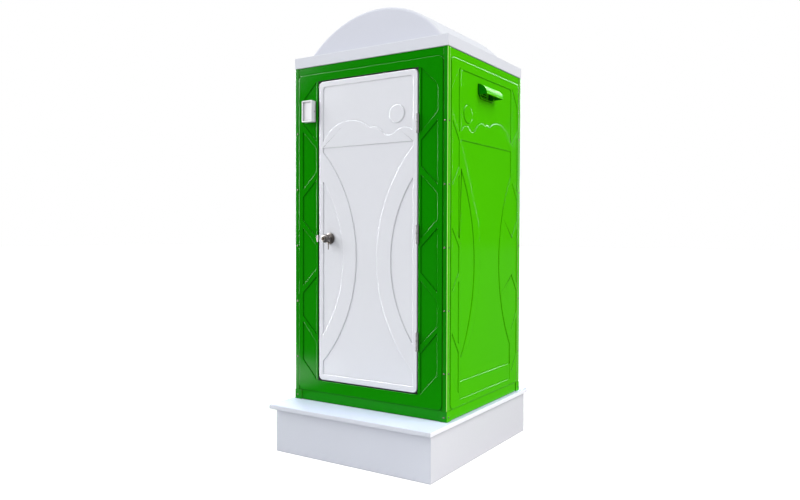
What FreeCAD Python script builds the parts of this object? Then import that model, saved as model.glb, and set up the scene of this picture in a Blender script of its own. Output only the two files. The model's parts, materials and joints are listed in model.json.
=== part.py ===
"""Portable toilet cabin on a holding-tank base, as an assembly of separate pieces.

Millimetres. +Z is up, the door faces -Y, and the origin is at the middle of the footprint on the ground.
"""
import FreeCAD, Part
import math
import os
import Sketcher
from types import SimpleNamespace

from FreeCAD import Placement, Rotation, Vector

# Driving sizes, one cell of the sheet each
SIZES = {
    # holding tank and deck
    "tank_width": 1104,
    "tank_height": 267,
    "tank_front": 178,
    "tank_rear": 88,
    "tank_wall": 8,
    "tank_floor": 10,
    "tank_flange": 45,
    "tank_corner": 6,
    "deck_thickness": 27,
    "deck_front": 220,
    "deck_rear": 95,
    "deck_side": 24,
    "deck_edge": 5,
    "drop_radius": 95,
    "outlet_radius": 62,
    "outlet_flange_radius": 82,
    "outlet_flange_thickness": 3.5,
    "plug_slot_length": 65,
    "plug_slot_width": 8,
    "plug_chamfer": 1,
    "outlet_height": 110,
    # cabin shell
    "cabin_width": 1100,
    "cabin_depth": 1000,
    "wall_height": 2087,
    "panel_core": 30,
    "field_rise": 6,
    "recess_depth": 5,
    "front_margin": 31,
    "side_margin": 40,
    "field_bottom": 64,
    "field_top": 49,
    "field_corner": 32,
    "angle_leg": 28,
    "angle_thickness": 3,
    "foot_leg": 48,
    "foot_thickness": 4,
    "foot_height": 60,
    # chevron strips
    "strip_pitch": 301,
    "strip_long": 358,
    "strip_short": 146,
    "strip_first": 1807,
    "strip_width": 107,
    "strip_inset": 16,
    "side_strip_width": 80,
    "side_strip_inset": 54,
    "strip_foot_outer_top": 494,
    "strip_foot_outer_bottom": 257,
    "strip_foot_inner_top": 373,
    "strip_foot_inner_bottom": 142,
    # landscape relief, heights above the deck
    "sky_top": 1950,
    "side_sky_top": 1984,
    "sky_corner": 22,
    "door_drawn_width": 648,
    "door_hill_start": 1617,
    "door_hill_end": 351,
    "door_hill_height": 1677,
    "door_hill_rise": 82,
    "door_knoll_end": 444,
    "door_knoll_height": 1638,
    "door_knoll_rise": 18,
    "door_valley_end": 524,
    "door_valley_height": 1638,
    "door_valley_drop": 14,
    "door_ridge_height": 1642,
    "door_ridge_rise": 22,
    "side_drawn_width": 686,
    "side_hill_start": 1635,
    "side_hill_end": 320,
    "side_hill_height": 1700,
    "side_hill_rise": 68,
    "side_bump_end": 377,
    "side_bump_height": 1702,
    "side_bump_rise": 11,
    "side_knoll_end": 507,
    "side_knoll_height": 1664,
    "side_knoll_rise": 26,
    "side_valley_end": 575,
    "side_valley_height": 1652,
    "side_valley_drop": 13,
    "side_ridge_height": 1636,
    "side_ridge_rise": 27,
    "waist_top": 1577,
    "waist_bottom": 178,
    "waist_shoulder": 27,
    "waist_foot": 82,
    "waist_width": 146,
    "segment_top": 1368,
    "segment_bottom": 425,
    "segment_depth": 150,
    "side_waist_top": 1585,
    "side_waist_bottom": 205,
    "side_waist_shoulder": 13,
    "side_waist_upper": 1127,
    "side_waist_upper_inset": 219,
    "side_waist_lower": 572,
    "side_waist_lower_inset": 190,
    "side_waist_bulge": 44,
    "side_waist_end": 340,
    "side_waist_end_bulge": 36,
    "side_segment_top": 1418,
    "side_segment_bottom": 335,
    "side_segment_depth": 171,
    "side_ledge_bottom": 103,
    "side_ledge_depth": 2.5,
    "sun_height": 1743,
    "sun_radius": 53,
    "door_sun_inset": 110,
    "side_sun_inset": 84,
    "side_field_inset": 157,
    "rear_field_inset": 210,
    # doorway and door
    "door_width": 714,
    "door_height": 1844,
    "door_sill": 141,
    "door_gap": 6,
    "door_corner": 28,
    "door_edge_round": 7,
    "door_skin": 10,
    "door_core": 22,
    "door_lining": 3.5,
    "door_border": 33,
    "stop_thickness": 10,
    "stop_cover": 25,
    "stop_cover_bottom": 10,
    "stop_reach": 14,
    # hinges
    "hinge_height": 107,
    "hinge_upper": 46,
    "hinge_radius": 8,
    "hinge_stand_off": 1,
    "hinge_pin_radius": 4,
    "hinge_leaf": 2.4,
    "hinge_leaf_depth": 28,
    "hinge_washer": 1.5,
    "hinge_washer_inset": 0.5,
    "hinge_pin_drop": 3,
    "hinge_top": 1674,
    "hinge_middle": 1047,
    "hinge_bottom": 437,
    # lock
    "lock_x": 85,
    "lock_z": 1020,
    "rose_radius": 35,
    "rose_thickness": 7,
    "rose_rim": 2.5,
    "rose_flat": 19,
    "rose_bulge": 1,
    "neck_radius": 11,
    "neck_length": 21,
    "knob_radius": 26,
    "knob_length": 42,
    "knob_face": 15,
    "knob_bulge": 3.5,
    "plug_radius": 7,
    "plug_depth": 14,
    "plug_proud": 0.5,
    "keyway_width": 1.6,
    "keyway_height": 8,
    "keyway_depth": 7,
    "button_length": 24,
    "button_width": 7,
    "button_reach": 9,
    "spindle_radius": 4,
    "latch_case_radius": 9.8,
    "latch_radius": 6,
    "latch_throw": 12,
    "latch_length": 34,
    "latch_tail": 15,
    "latch_pocket_gap": 1,
    "face_plate_height": 57,
    "face_plate_width": 22,
    "face_plate_thickness": 2,
    "strike_height": 43,
    "strike_lip": 12,
    "strike_leg": 31,
    "strike_thickness": 2,
    "ring_radius": 15,
    "ring_wire": 1.2,
    "key_bow": 7,
    "key_hole": 3,
    "key_thickness": 2,
    "key_blade": 38,
    # wall box beside the door
    "wall_box_width": 80,
    "wall_box_height": 132,
    "wall_box_depth": 44,
    "wall_box_x": 61,
    "wall_box_z": 1807,
    "wall_box_cover": 18,
    "wall_box_rim": 8,
    "wall_box_recess": 11,
    "wall_box_corner": 5,
    "wall_box_step": 1,
    "wall_box_edge": 3,
    "box_screw_radius": 3,
    "box_screw_height": 1.5,
    # side vents
    "hood_length": 230,
    "hood_height": 64,
    "hood_reach": 60,
    "hood_shell": 3,
    "hood_top": 1941,
    "hood_start": 370,
    "vent_start": 385,
    "vent_length": 196,
    "vent_height": 76,
    "vent_z": 1897,
    "vent_collar": 4,
    "vent_proud": 6,
    "vent_slat": 3,
    # roof
    "fascia_height": 66,
    "fascia_proud": 3,
    "fascia_wall": 8,
    "roof_sheet": 5,
    "roof_seat": 33,
    "vault_inset": 62,
    "vault_rear_inset": 88,
    "vault_rise": 260,
    "vault_shell": 5,
    "vault_edge": 30,
    "vault_lean": 54,
    "vault_flange": 8,
    "vault_flange_thickness": 3,
    "light_margin": 15,
    "pipe_notch_gap": 2,
    # inside
    "floor_height": 120,
    "floor_sheet": 8,
    "floor_gap": 1,
    "rib_height": 3,
    "rib_width": 14,
    "rib_pitch": 70,
    "rib_margin": 100,
    "rib_count": 5,
    "pedestal_height": 390,
    "pedestal_base": 135,
    "pedestal_rim": 190,
    "pedestal_foot": 30,
    "pedestal_waist": 21,
    "pedestal_lip": 28,
    "pedestal_overhang": 14,
    "pedestal_mouth": 115,
    "bowl_depth": 270,
    "bowl_bulge": 20,
    "shelf_width": 192,
    "shelf_overlap": 18,
    "pedestal_back": 290,
    "seat_outer": 192,
    "seat_inner": 112,
    "seat_thickness": 18,
    "seat_rod": 5,
    "seat_rod_back": 14,
    "seat_gap": 0.3,
    "seat_post_x": 80,
    "seat_post_width": 12,
    "seat_lug_x": 40,
    "seat_lug_width": 22,
    "pipe_radius": 20,
    "pipe_wall": 2,
    "pipe_from_wall": 26,
    "pipe_collar": 4,
    "pipe_above_roof": 55,
    "cowl_radius": 31,
    "cowl_sleeve": 15,
    "cowl_wall": 2,
    "cowl_gap": 8,
    "cowl_cap": 7,
    "clip_height": 18,
    "clip_wall": 3,
    "clip_bridge": 18,
    "roll_radius": 52,
    "roll_length": 100,
    "roll_side_gap": 3,
    "roll_wall_gap": 9,
    "roller_radius": 19,
    "bracket_sheet": 3,
    "bracket_height": 70,
    "bracket_arm": 28,
    "paper_z": 820,
    "paper_y": 60,
    "hook_z": 1650,
    "hook_y": 0,
    "hook_reach": 55,
    "hook_wire": 4,
    "hook_tip": 27,
    "hook_ball": 6.5,
    "hook_plate": 4,
    "hook_plate_width": 40,
    "hook_plate_height": 60,
    # fits and fasteners
    "running_gap": 0.05,
    "clear_gap": 0.3,
    "screw_head": 5,
    "screw_head_top": 3.4,
    "screw_head_height": 2.5,
    "screw_radius": 2.2,
    "screw_length": 12,
    "screw_inset": 18,
    "screw_first": 270,
    "screw_pitch": 352,
    "foot_screw_z": 26,
}

# Counts, and shares of a size
CHEVRONS = 5
VENT_SLOTS = 4
SCREW_ROWS = 5
PIPE_CLIPS = 2
BLADE_SHARE = 0.75
BIT_PLACES = (0.45, 0.65, 0.85)

doc = FreeCAD.newDocument("ToiletCabin")
sheet = doc.addObject("Spreadsheet::Sheet", "Sizes")
for row, (alias, number) in enumerate(SIZES.items(), start=1):
    sheet.set(f"B{row}", str(number))
    sheet.setAlias(f"B{row}", alias)
doc.recompute()


class Size:
    """A length that knows its value and the sheet's formula for it."""

    def __init__(self, value, formula):
        self.value = float(value)
        self.formula = formula

    def __add__(self, other):
        return Size(self.value + plain(other), f"({self.formula} + {formula(other)})")

    def __radd__(self, other):
        return self + other

    def __sub__(self, other):
        return Size(self.value - plain(other), f"({self.formula} - {formula(other)})")

    def __rsub__(self, other):
        return Size(plain(other) - self.value, f"({formula(other)} - {self.formula})")

    def __mul__(self, other):
        return Size(self.value * plain(other), f"({self.formula} * {formula(other)})")

    def __rmul__(self, other):
        return self * other

    def __truediv__(self, other):
        return Size(self.value / plain(other), f"({self.formula} / {formula(other)})")

    def __neg__(self):
        return Size(-self.value, f"(-{self.formula})")


def plain(length):
    """The number behind a size or a plain number."""
    return length.value if isinstance(length, Size) else float(length)


def formula(length):
    """The expression behind a size or a plain number."""
    return length.formula if isinstance(length, Size) else repr(float(length))


s = SimpleNamespace(**{alias: Size(sheet.get(alias), f"Sizes.{alias}") for alias in SIZES})

UP = Rotation()
ALONG_X = Rotation(Vector(0, 1, 0), 90)
ALONG_Y = Rotation(Vector(1, 0, 0), -90)
TO_MINUS_X = Rotation(Vector(0, 1, 0), -90)
TO_MINUS_Y = Rotation(Vector(1, 0, 0), 90)
TO_RIGHT = Rotation(Vector(0, 0, 1), 90)
TO_LEFT = Rotation(Vector(0, 0, 1), -90)
TO_REAR = Rotation(Vector(0, 0, 1), 180)
LATCH_BEVEL = Rotation(Vector(0, 0, 1), 36)

# Main planes of the cabin
base = s.tank_height + s.deck_thickness
front = (s.deck_front - s.deck_rear - s.cabin_depth) / 2
rear = front + s.cabin_depth
half = s.cabin_width / 2
top = base + s.wall_height
roof = top + s.fascia_height
panel_back = s.angle_thickness + s.panel_core
face = s.angle_thickness - s.field_rise
door_half = s.door_width / 2
opening_half = door_half + s.door_gap
door_top = s.door_sill + s.door_height
door_back = face + s.door_skin + s.door_core + s.door_lining
hinge_x = door_half + s.door_gap / 2
hinge_y = face - s.hinge_stand_off - s.hinge_radius
lock_side = s.lock_x - door_half
latch_y = face + s.door_skin + s.door_core / 2
floor_top = base + s.floor_height
pedestal_y = rear - panel_back - s.pedestal_back
rod_y = pedestal_y + s.seat_outer + s.seat_rod_back
rod_z = floor_top + s.pedestal_height + s.seat_gap + s.seat_thickness / 2
pipe_x = -half + panel_back + s.pipe_from_wall
pipe_y = rear - panel_back - s.pipe_from_wall
vault_half = half - s.vault_inset
vault_radius = (vault_half * vault_half + s.vault_rise * s.vault_rise) / (s.vault_rise * 2)
vault_centre = roof + s.vault_rise - vault_radius
vault_length = s.cabin_depth - s.vault_inset - s.vault_rear_inset
strip_edge = opening_half + s.strip_inset
box_side = -opening_half - s.wall_box_x
slat_pitch = (s.vent_height - s.vent_collar * 2) / (VENT_SLOTS + 1)

PARTS = {}


def bind(thing, name, length):
    """Ties one property of an object to the sheet."""
    thing.setExpression(name, formula(length))


def place(thing, x=0, y=0, z=0, turn=UP):
    """Puts an object at a place that the sheet drives."""
    thing.Placement = Placement(Vector(plain(x), plain(y), plain(z)), turn)
    for axis, length in zip("xyz", (x, y, z)):
        bind(thing, f"Placement.Base.{axis}", length)
    return thing


def keep(label, thing):
    """Names an object as a finished piece."""
    thing.Label = label
    PARTS[label] = thing
    return thing


def origin_feature(body, role):
    return next(f for f in body.Origin.OriginFeatures if f.Role == role)


def new_body(label, kept=True):
    body = doc.addObject("PartDesign::Body", label)
    return keep(label, body) if kept else body


def sketch_on(body, plane, level=0):
    """A sketch on one of the body's origin planes, moved along the plane's normal."""
    sketch = body.newObject("Sketcher::SketchObject", f"{body.Name}_sketch")
    sketch.AttachmentSupport = [(origin_feature(body, plane), "")]
    sketch.MapMode = "FlatFace"
    bind(sketch, "AttachmentOffset.Base.z", level)
    return sketch


def pin(sketch, edge, end, u, v):
    """Fixes one point of a sketch at a place that the sheet drives."""
    for kind, length in (("DistanceX", u), ("DistanceY", v)):
        index = sketch.addConstraint(Sketcher.Constraint(kind, -1, 1, edge, end, plain(length)))
        bind(sketch, f"Constraints[{index}]", length)


def arc_between(start, end, radius):
    """The short arc from start to end, with its centre on the left where the radius is positive."""
    chord = end - start
    rise = math.sqrt(radius ** 2 - (chord.Length / 2) ** 2)
    left = Vector(-chord.y, chord.x, 0).normalize()
    centre = (start + end) / 2 + left * math.copysign(rise, radius)
    first, last = (start, end) if radius > 0 else (end, start)
    angles = [math.atan2(p.y - centre.y, p.x - centre.x) for p in (first, last)]
    return Part.ArcOfCircle(Part.Circle(centre, Vector(0, 0, 1), abs(radius)), *angles)


def outline(sketch, corners):
    """A closed outline. A corner's third value is the radius of the arc that leaves it."""
    points = [Vector(plain(c[0]), plain(c[1]), 0) for c in corners]
    first_edge = sketch.GeometryCount
    ends = []
    for i, corner in enumerate(corners):
        start, end = points[i], points[(i + 1) % len(points)]
        if len(corner) == 3:
            edge = sketch.addGeometry(arc_between(start, end, plain(corner[2])))
            index = sketch.addConstraint(Sketcher.Constraint("Radius", edge, abs(plain(corner[2]))))
            bind(sketch, f"Constraints[{index}]", corner[2] if plain(corner[2]) > 0 else -corner[2])
            ends.append((1, 2) if plain(corner[2]) > 0 else (2, 1))
        else:
            sketch.addGeometry(Part.LineSegment(start, end))
            ends.append((1, 2))
    for i, corner in enumerate(corners):
        edge, following = first_edge + i, first_edge + (i + 1) % len(corners)
        next_start = ends[(i + 1) % len(corners)][0]
        sketch.addConstraint(Sketcher.Constraint("Coincident", edge, ends[i][1], following, next_start))
        pin(sketch, edge, ends[i][0], corner[0], corner[1])
    return sketch


def rectangle(sketch, left, bottom, right, up):
    return outline(sketch, [(left, bottom), (right, bottom), (right, up), (left, up)])


def rounded_rectangle(sketch, left, bottom, right, up, radius):
    return outline(sketch, [
        (left + radius, bottom), (right - radius, bottom, radius),
        (right, bottom + radius), (right, up - radius, radius),
        (right - radius, up), (left + radius, up, radius),
        (left, up - radius), (left, bottom + radius, radius),
    ])


def circle(sketch, u, v, radius):
    edge = sketch.addGeometry(Part.Circle(Vector(plain(u), plain(v), 0), Vector(0, 0, 1), plain(radius)))
    pin(sketch, edge, 3, u, v)
    index = sketch.addConstraint(Sketcher.Constraint("Radius", edge, plain(radius)))
    bind(sketch, f"Constraints[{index}]", radius)
    return sketch


def feature(kind, body, sketch, length, back=False):
    """A pad or a pocket of a sketch, which has to change the body's volume."""
    before = body.Shape.Volume if body.Tip else 0.0
    made = body.newObject(f"PartDesign::{kind}", f"{body.Name}_{kind.lower()}")
    made.Profile = sketch
    made.Reversed = back
    bind(made, "Length", length)
    body.Tip = made
    doc.recompute()
    change = made.Shape.Volume - before
    if made.State != ["Up-to-date"] or (change <= 0 if kind == "Pad" else change >= 0):
        raise ValueError(f"{body.Label}: this {kind} changes the volume by {change:.1f}")
    return made


def pad(body, sketch, length, back=False):
    return feature("Pad", body, sketch, length, back)


def pocket(body, sketch, depth, back=False):
    return feature("Pocket", body, sketch, depth, back)


def turned(label, corners, plane="XY_Plane", kept=True):
    """A body turned from a half profile about the sketch's upright axis."""
    body = new_body(label, kept)
    sketch = outline(sketch_on(body, plane), corners)
    made = body.newObject("PartDesign::Revolution", f"{body.Name}_turning")
    made.Profile = sketch
    made.ReferenceAxis = (sketch, ["V_Axis"])
    made.Angle = 360
    body.Tip = made
    doc.recompute()
    return body


def at_level(axis, level):
    """A test for edges that lie at one level of an axis."""
    where = plain(level)
    return lambda edge: all(abs(getattr(vertex, axis) - where) < 0.01 for vertex in edge.Vertexes)


def round_edges(body, radius, chosen):
    """Rounds the edges of the body's last feature that the test picks."""
    last = body.Tip
    names = [f"Edge{i}" for i, edge in enumerate(last.Shape.Edges, start=1) if chosen(edge)]
    made = body.newObject("PartDesign::Fillet", f"{body.Name}_rounding")
    made.Base = (last, names)
    bind(made, "Radius", radius)
    body.Tip = made
    doc.recompute()
    return made


def box(x, y, z, length, width, height, name="block"):
    made = doc.addObject("Part::Box", name)
    for prop, size in (("Length", length), ("Width", width), ("Height", height)):
        bind(made, prop, size)
    return place(made, x, y, z)


def rod(x, y, z, radius, length, turn=UP, name="rod"):
    made = doc.addObject("Part::Cylinder", name)
    bind(made, "Radius", radius)
    bind(made, "Height", length)
    return place(made, x, y, z, turn)


def cut(target, tool, name="cut"):
    made = doc.addObject("Part::Cut", name)
    made.Base = target
    made.Tool = tool
    doc.recompute()
    if made.Shape.Volume >= target.Shape.Volume - 1e-6:
        raise ValueError(f"{name}: the tool misses the solid")
    return made


def cut_all(target, tools, name="cut"):
    for tool in tools:
        target = cut(target, tool, name)
    return target


def fuse(shapes, name="joined"):
    made = doc.addObject("Part::MultiFuse", name)
    made.Shapes = shapes
    made.Refine = True
    doc.recompute()
    return made


def common(shapes, name="shared"):
    made = doc.addObject("Part::MultiCommon", name)
    made.Shapes = shapes
    doc.recompute()
    return made


def group(label, shapes):
    """Separate solids that share one node."""
    made = doc.addObject("Part::Compound", label)
    made.Links = shapes
    doc.recompute()
    return keep(label, made)


def copy_at(master, x, y, z, turn=UP):
    made = doc.addObject("App::Link", "copy")
    made.LinkedObject = master
    made.LinkTransform = False
    return place(made, x, y, z, turn)


# Holding tank and deck

def make_tank():
    left, near = -s.tank_width / 2, front - s.tank_front
    far = rear + s.tank_rear
    shell = new_body("tank_shell")
    pad(shell, rounded_rectangle(sketch_on(shell, "XY_Plane"), left, near, -left, far, s.tank_corner),
        s.tank_height)
    mouth = rectangle(sketch_on(shell, "XY_Plane", s.tank_height), left + s.tank_flange,
                      near + s.tank_flange, -left - s.tank_flange, far - s.tank_flange)
    pocket(shell, mouth, s.tank_height - s.tank_floor)
    hollow = rectangle(sketch_on(shell, "XY_Plane", s.tank_floor), left + s.tank_wall,
                       near + s.tank_wall, -left - s.tank_wall, far - s.tank_wall)
    pocket(shell, hollow, s.tank_height - s.tank_floor - s.tank_wall, back=True)
    port = circle(sketch_on(shell, "XZ_Plane", -far), 0, s.outlet_height, s.outlet_radius)
    pocket(shell, port, s.tank_wall, back=True)

    inner = s.outlet_radius - s.tank_wall
    flange = turned("outlet_flange", [
        (inner, 0), (s.outlet_flange_radius, 0), (s.outlet_flange_radius, s.outlet_flange_thickness),
        (inner, s.outlet_flange_thickness),
    ])
    place(flange, 0, far, s.outlet_height)
    thread = inner - s.running_gap
    grip = s.outlet_flange_thickness * 2
    plug = turned("outlet_plug", [
        (0, -s.tank_wall), (thread, -s.tank_wall), (thread, s.outlet_flange_thickness),
        (inner + s.tank_wall, s.outlet_flange_thickness), (inner + s.tank_wall, grip - s.plug_chamfer),
        (inner + s.tank_wall - s.plug_chamfer, grip), (0, grip),
    ])
    slot_length, slot_width = s.plug_slot_length / 2, s.plug_slot_width / 2
    slot = rectangle(sketch_on(plug, "XZ_Plane", -grip), -slot_length, -slot_width, slot_length, slot_width)
    pocket(plug, slot, s.outlet_flange_thickness, back=True)
    place(plug, 0, far, s.outlet_height)


def make_deck():
    deck = new_body("deck")
    left, near = -half - s.deck_side, front - s.deck_front
    slab = rounded_rectangle(sketch_on(deck, "XY_Plane"), left, near, -left, rear + s.deck_rear,
                             s.tank_corner)
    pad(deck, slab, s.deck_thickness)
    holes = circle(sketch_on(deck, "XY_Plane", s.deck_thickness), 0, pedestal_y, s.drop_radius)
    circle(holes, pipe_x, pipe_y, s.pipe_radius + s.running_gap)
    pocket(deck, holes, s.deck_thickness)
    on_top = at_level("Z", s.deck_thickness)
    under_cabin = [edge.CenterOfMass for edge in deck.Shape.Edges
                   if abs(edge.CenterOfMass.x) < plain(half)
                   and plain(front) < edge.CenterOfMass.y < plain(rear)]
    round_edges(deck, s.deck_edge, lambda edge: on_top(edge) and edge.CenterOfMass not in under_cabin)
    place(deck, 0, 0, s.tank_height)


# Moulded wall panels

def plate(body, left, right, margin):
    """A wall panel between two mitred edges, with its raised field. Left and right are on its back."""
    reach = s.panel_core
    pad(body, outline(sketch_on(body, "XY_Plane"), [
        (left - reach, s.angle_thickness), (right + reach, s.angle_thickness),
        (right, panel_back), (left, panel_back)]), s.wall_height)
    inset = margin - panel_back
    pad(body, rounded_rectangle(sketch_on(body, "XZ_Plane", -s.angle_thickness), left + inset,
                                s.field_bottom, right - inset, s.wall_height - s.field_top,
                                s.field_corner), s.field_rise)


def chevrons(sketch, inner, outer):
    """A strip of interlocking chevrons over a slanting foot."""
    for step in range(CHEVRONS):
        middle = s.strip_first - s.strip_pitch * step
        inside, outside = (s.strip_long, s.strip_short) if step % 2 == 0 else (s.strip_short, s.strip_long)
        outline(sketch, [(inner, middle - inside / 2), (outer, middle - outside / 2),
                         (outer, middle + outside / 2), (inner, middle + inside / 2)])
    outline(sketch, [(inner, s.strip_foot_inner_bottom), (outer, s.strip_foot_outer_bottom),
                     (outer, s.strip_foot_outer_top), (inner, s.strip_foot_inner_top)])


def arc_radius(across, along, sagitta):
    """The radius of an arc that rises by its sagitta over a chord of these two parts."""
    return ((across * across + along * along) / 4 + sagitta * sagitta) / (sagitta * 2)


def flipped(corners, across):
    """The outline's mirror image about the line u = across / 2."""
    count = len(corners)
    return [(across - corners[i][0], corners[i][1]) + tuple(corners[i - 1][2:])
            for i in reversed(range(count))]


def hills(left, right, sky_top, start, drawn_width, arcs):
    """The sky's outline. Each arc of its foot has an end along the drawn field, a height and a rise."""
    corners, x, z = [], left, start
    stretch = (right - left) / drawn_width
    for end, height, rise in arcs:
        reach = left + end * stretch
        corners.append((x, z, -arc_radius(reach - x, height - z, rise)))
        x, z = reach, height
    corner = s.sky_corner
    return corners + [
        (right, z), (right, sky_top - corner, corner), (right - corner, sky_top),
        (left + corner, sky_top, corner), (left, sky_top - corner),
    ]


def recess(body, *outlines, depth=s.recess_depth):
    """A shallow pocket in the panel's raised face."""
    sketch = sketch_on(body, "XZ_Plane", -face)
    for corners in outlines:
        outline(sketch, corners)
    return pocket(body, sketch, depth)


def sky_relief(body, sky, sun_x):
    """The sky, with the sun left standing in it."""
    sketch = outline(sketch_on(body, "XZ_Plane", -face), sky)
    circle(sketch, sun_x, s.sun_height, s.sun_radius)
    pocket(body, sketch, s.recess_depth)


def segment(edge, bottom, height, depth):
    """A shallow segment that stands on a field's edge and bulges to its right."""
    return [(edge, bottom, arc_radius(height, 0, depth)), (edge, bottom + height)]


def door_relief(body, left, right):
    """The door's landscape: sky, waisted field and a segment on each side."""
    sky_relief(body, hills(left, right, s.sky_top, s.door_hill_start, s.door_drawn_width, [
        (s.door_hill_end, s.door_hill_height, s.door_hill_rise),
        (s.door_knoll_end, s.door_knoll_height, s.door_knoll_rise),
        (s.door_valley_end, s.door_valley_height, -s.door_valley_drop),
        (s.door_drawn_width, s.door_ridge_height, s.door_ridge_rise),
    ]), right - s.door_sun_inset)
    foot, shoulder = s.waist_bottom + s.waist_foot, s.waist_top - s.waist_shoulder
    inward = -arc_radius(shoulder - foot, 0, (right - left - s.waist_width) / 2)
    recess(body, [
        (left, s.waist_bottom), (right, s.waist_bottom), (right, foot, inward), (right, shoulder),
        (right, s.waist_top), (left, s.waist_top), (left, shoulder, inward), (left, foot)])
    near = segment(left, s.segment_bottom, s.segment_top - s.segment_bottom, s.segment_depth)
    recess(body, near, flipped(near, left + right))


def side_relief(body, left, right, mirror):
    """A wall's landscape. Its waisted field reaches the far segment, and its hills run the other way."""
    across = left + right
    way = flipped if mirror else lambda corners, whole: corners
    sky = hills(left, right, s.side_sky_top, s.side_hill_start, s.side_drawn_width, [
        (s.side_hill_end, s.side_hill_height, s.side_hill_rise),
        (s.side_bump_end, s.side_bump_height, s.side_bump_rise),
        (s.side_knoll_end, s.side_knoll_height, s.side_knoll_rise),
        (s.side_valley_end, s.side_valley_height, -s.side_valley_drop),
        (s.side_drawn_width, s.side_ridge_height, s.side_ridge_rise),
    ])
    sky_relief(body, way(flipped(sky, across), across),
               right - s.side_sun_inset if mirror else left + s.side_sun_inset)
    height = s.side_segment_top - s.side_segment_bottom
    upper, lower = left + s.side_waist_upper_inset, left + s.side_waist_lower_inset
    middle_arc = -arc_radius(upper - lower, s.side_waist_upper - s.side_waist_lower, s.side_waist_bulge)
    end_arc = -arc_radius(lower - left, s.side_waist_lower - s.side_waist_end, s.side_waist_end_bulge)
    recess(body, way([
        (left, s.side_waist_bottom), (right, s.side_waist_bottom),
        (right, s.side_segment_bottom, -arc_radius(height, 0, s.side_segment_depth)),
        (right, s.side_segment_top), (right, s.side_waist_top), (left, s.side_waist_top),
        (left, s.side_waist_top - s.side_waist_shoulder), (upper, s.side_waist_upper, middle_arc),
        (lower, s.side_waist_lower, end_arc), (left, s.side_waist_end)], across))
    recess(body, way(segment(left, s.side_segment_bottom, height, s.side_segment_depth), across))
    ledge = s.side_waist_bottom
    recess(body, [(left, s.side_ledge_bottom), (right, s.side_ledge_bottom), (right, ledge), (left, ledge)],
           depth=s.side_ledge_depth)


def make_front_frame():
    frame = new_body("front_frame")
    wide = half - panel_back
    plate(frame, -wide, wide, s.front_margin)
    doorway = rounded_rectangle(sketch_on(frame, "XZ_Plane", -face), -opening_half,
                                s.door_sill - s.door_gap, opening_half, door_top + s.door_gap,
                                s.door_corner + s.door_gap)
    pocket(frame, doorway, s.field_rise + s.panel_core)
    strips = sketch_on(frame, "XZ_Plane", -face)
    for side in (-1, 1):
        chevrons(strips, strip_edge * side, (strip_edge + s.strip_width) * side)
    pocket(frame, strips, s.recess_depth)
    strike_seat = rectangle(sketch_on(frame, "YZ_Plane", -opening_half), face,
                            s.lock_z - s.strike_height / 2, face + s.strike_leg,
                            s.lock_z + s.strike_height / 2)
    pocket(frame, strike_seat, s.strike_thickness)
    bolt_pocket = circle(sketch_on(frame, "YZ_Plane", -opening_half - s.strike_thickness), latch_y,
                         s.lock_z, s.latch_radius + s.latch_pocket_gap)
    pocket(frame, bolt_pocket, s.latch_throw)
    place(frame, 0, front, base)


def side_wall(label, x, y, turn, mirror):
    """A side panel. It runs from the cabin's front to its rear, and the mirrored one from rear to front."""
    wall = new_body(label)
    across = s.cabin_depth - panel_back * 2
    plate(wall, 0, across, s.side_margin)
    strips = sketch_on(wall, "XZ_Plane", -face)
    outer = s.side_strip_inset - panel_back
    inner = outer + s.side_strip_width
    chevrons(strips, inner, outer)
    chevrons(strips, across - inner, across - outer)
    pocket(wall, strips, s.recess_depth)
    left = s.side_field_inset - panel_back
    side_relief(wall, left, across - left, mirror)
    vent = s.vent_start - panel_back
    vent_left = across - vent - s.vent_length if mirror else vent
    hole = vent_outline(sketch_on(wall, "XZ_Plane", -face), vent_left, 0)
    pocket(wall, hole, s.field_rise + s.panel_core)
    place(wall, x, y, base, turn)

    grille = new_body(label.replace("panel", "vent"))
    outside = face + s.recess_depth - s.vent_proud
    collar = vent_outline(sketch_on(grille, "XZ_Plane", -panel_back), vent_left, 0)
    pad(grille, collar, panel_back - outside)
    bore = vent_outline(sketch_on(grille, "XZ_Plane", -outside), vent_left, s.vent_collar)
    pocket(grille, bore, panel_back - outside - s.vent_slat)
    slots = sketch_on(grille, "XZ_Plane", -panel_back + s.vent_slat)
    for step in range(VENT_SLOTS):
        middle = s.vent_z + slat_pitch * (step - (VENT_SLOTS - 1) / 2)
        rectangle(slots, vent_left + s.vent_height / 2, middle - slat_pitch / 4,
                  vent_left + s.vent_length - s.vent_height / 2, middle + slat_pitch / 4)
    pocket(grille, slots, s.vent_slat)
    place(grille, x, y, base, turn)


def vent_outline(sketch, left, inset):
    corner = s.vent_height / 2 - s.vent_collar * 2
    return rounded_rectangle(sketch, left + inset, s.vent_z - s.vent_height / 2 + inset,
                             left + s.vent_length - inset, s.vent_z + s.vent_height / 2 - inset, corner)


def make_rear_panel():
    wall = new_body("rear_panel")
    wide = half - panel_back
    plate(wall, -wide, wide, s.front_margin)
    strips = sketch_on(wall, "XZ_Plane", -face)
    for side in (-1, 1):
        chevrons(strips, strip_edge * side, (strip_edge + s.strip_width) * side)
    pocket(wall, strips, s.recess_depth)
    field = half - s.rear_field_inset
    side_relief(wall, -field, field, mirror=False)
    place(wall, 0, rear, base, TO_REAR)


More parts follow.
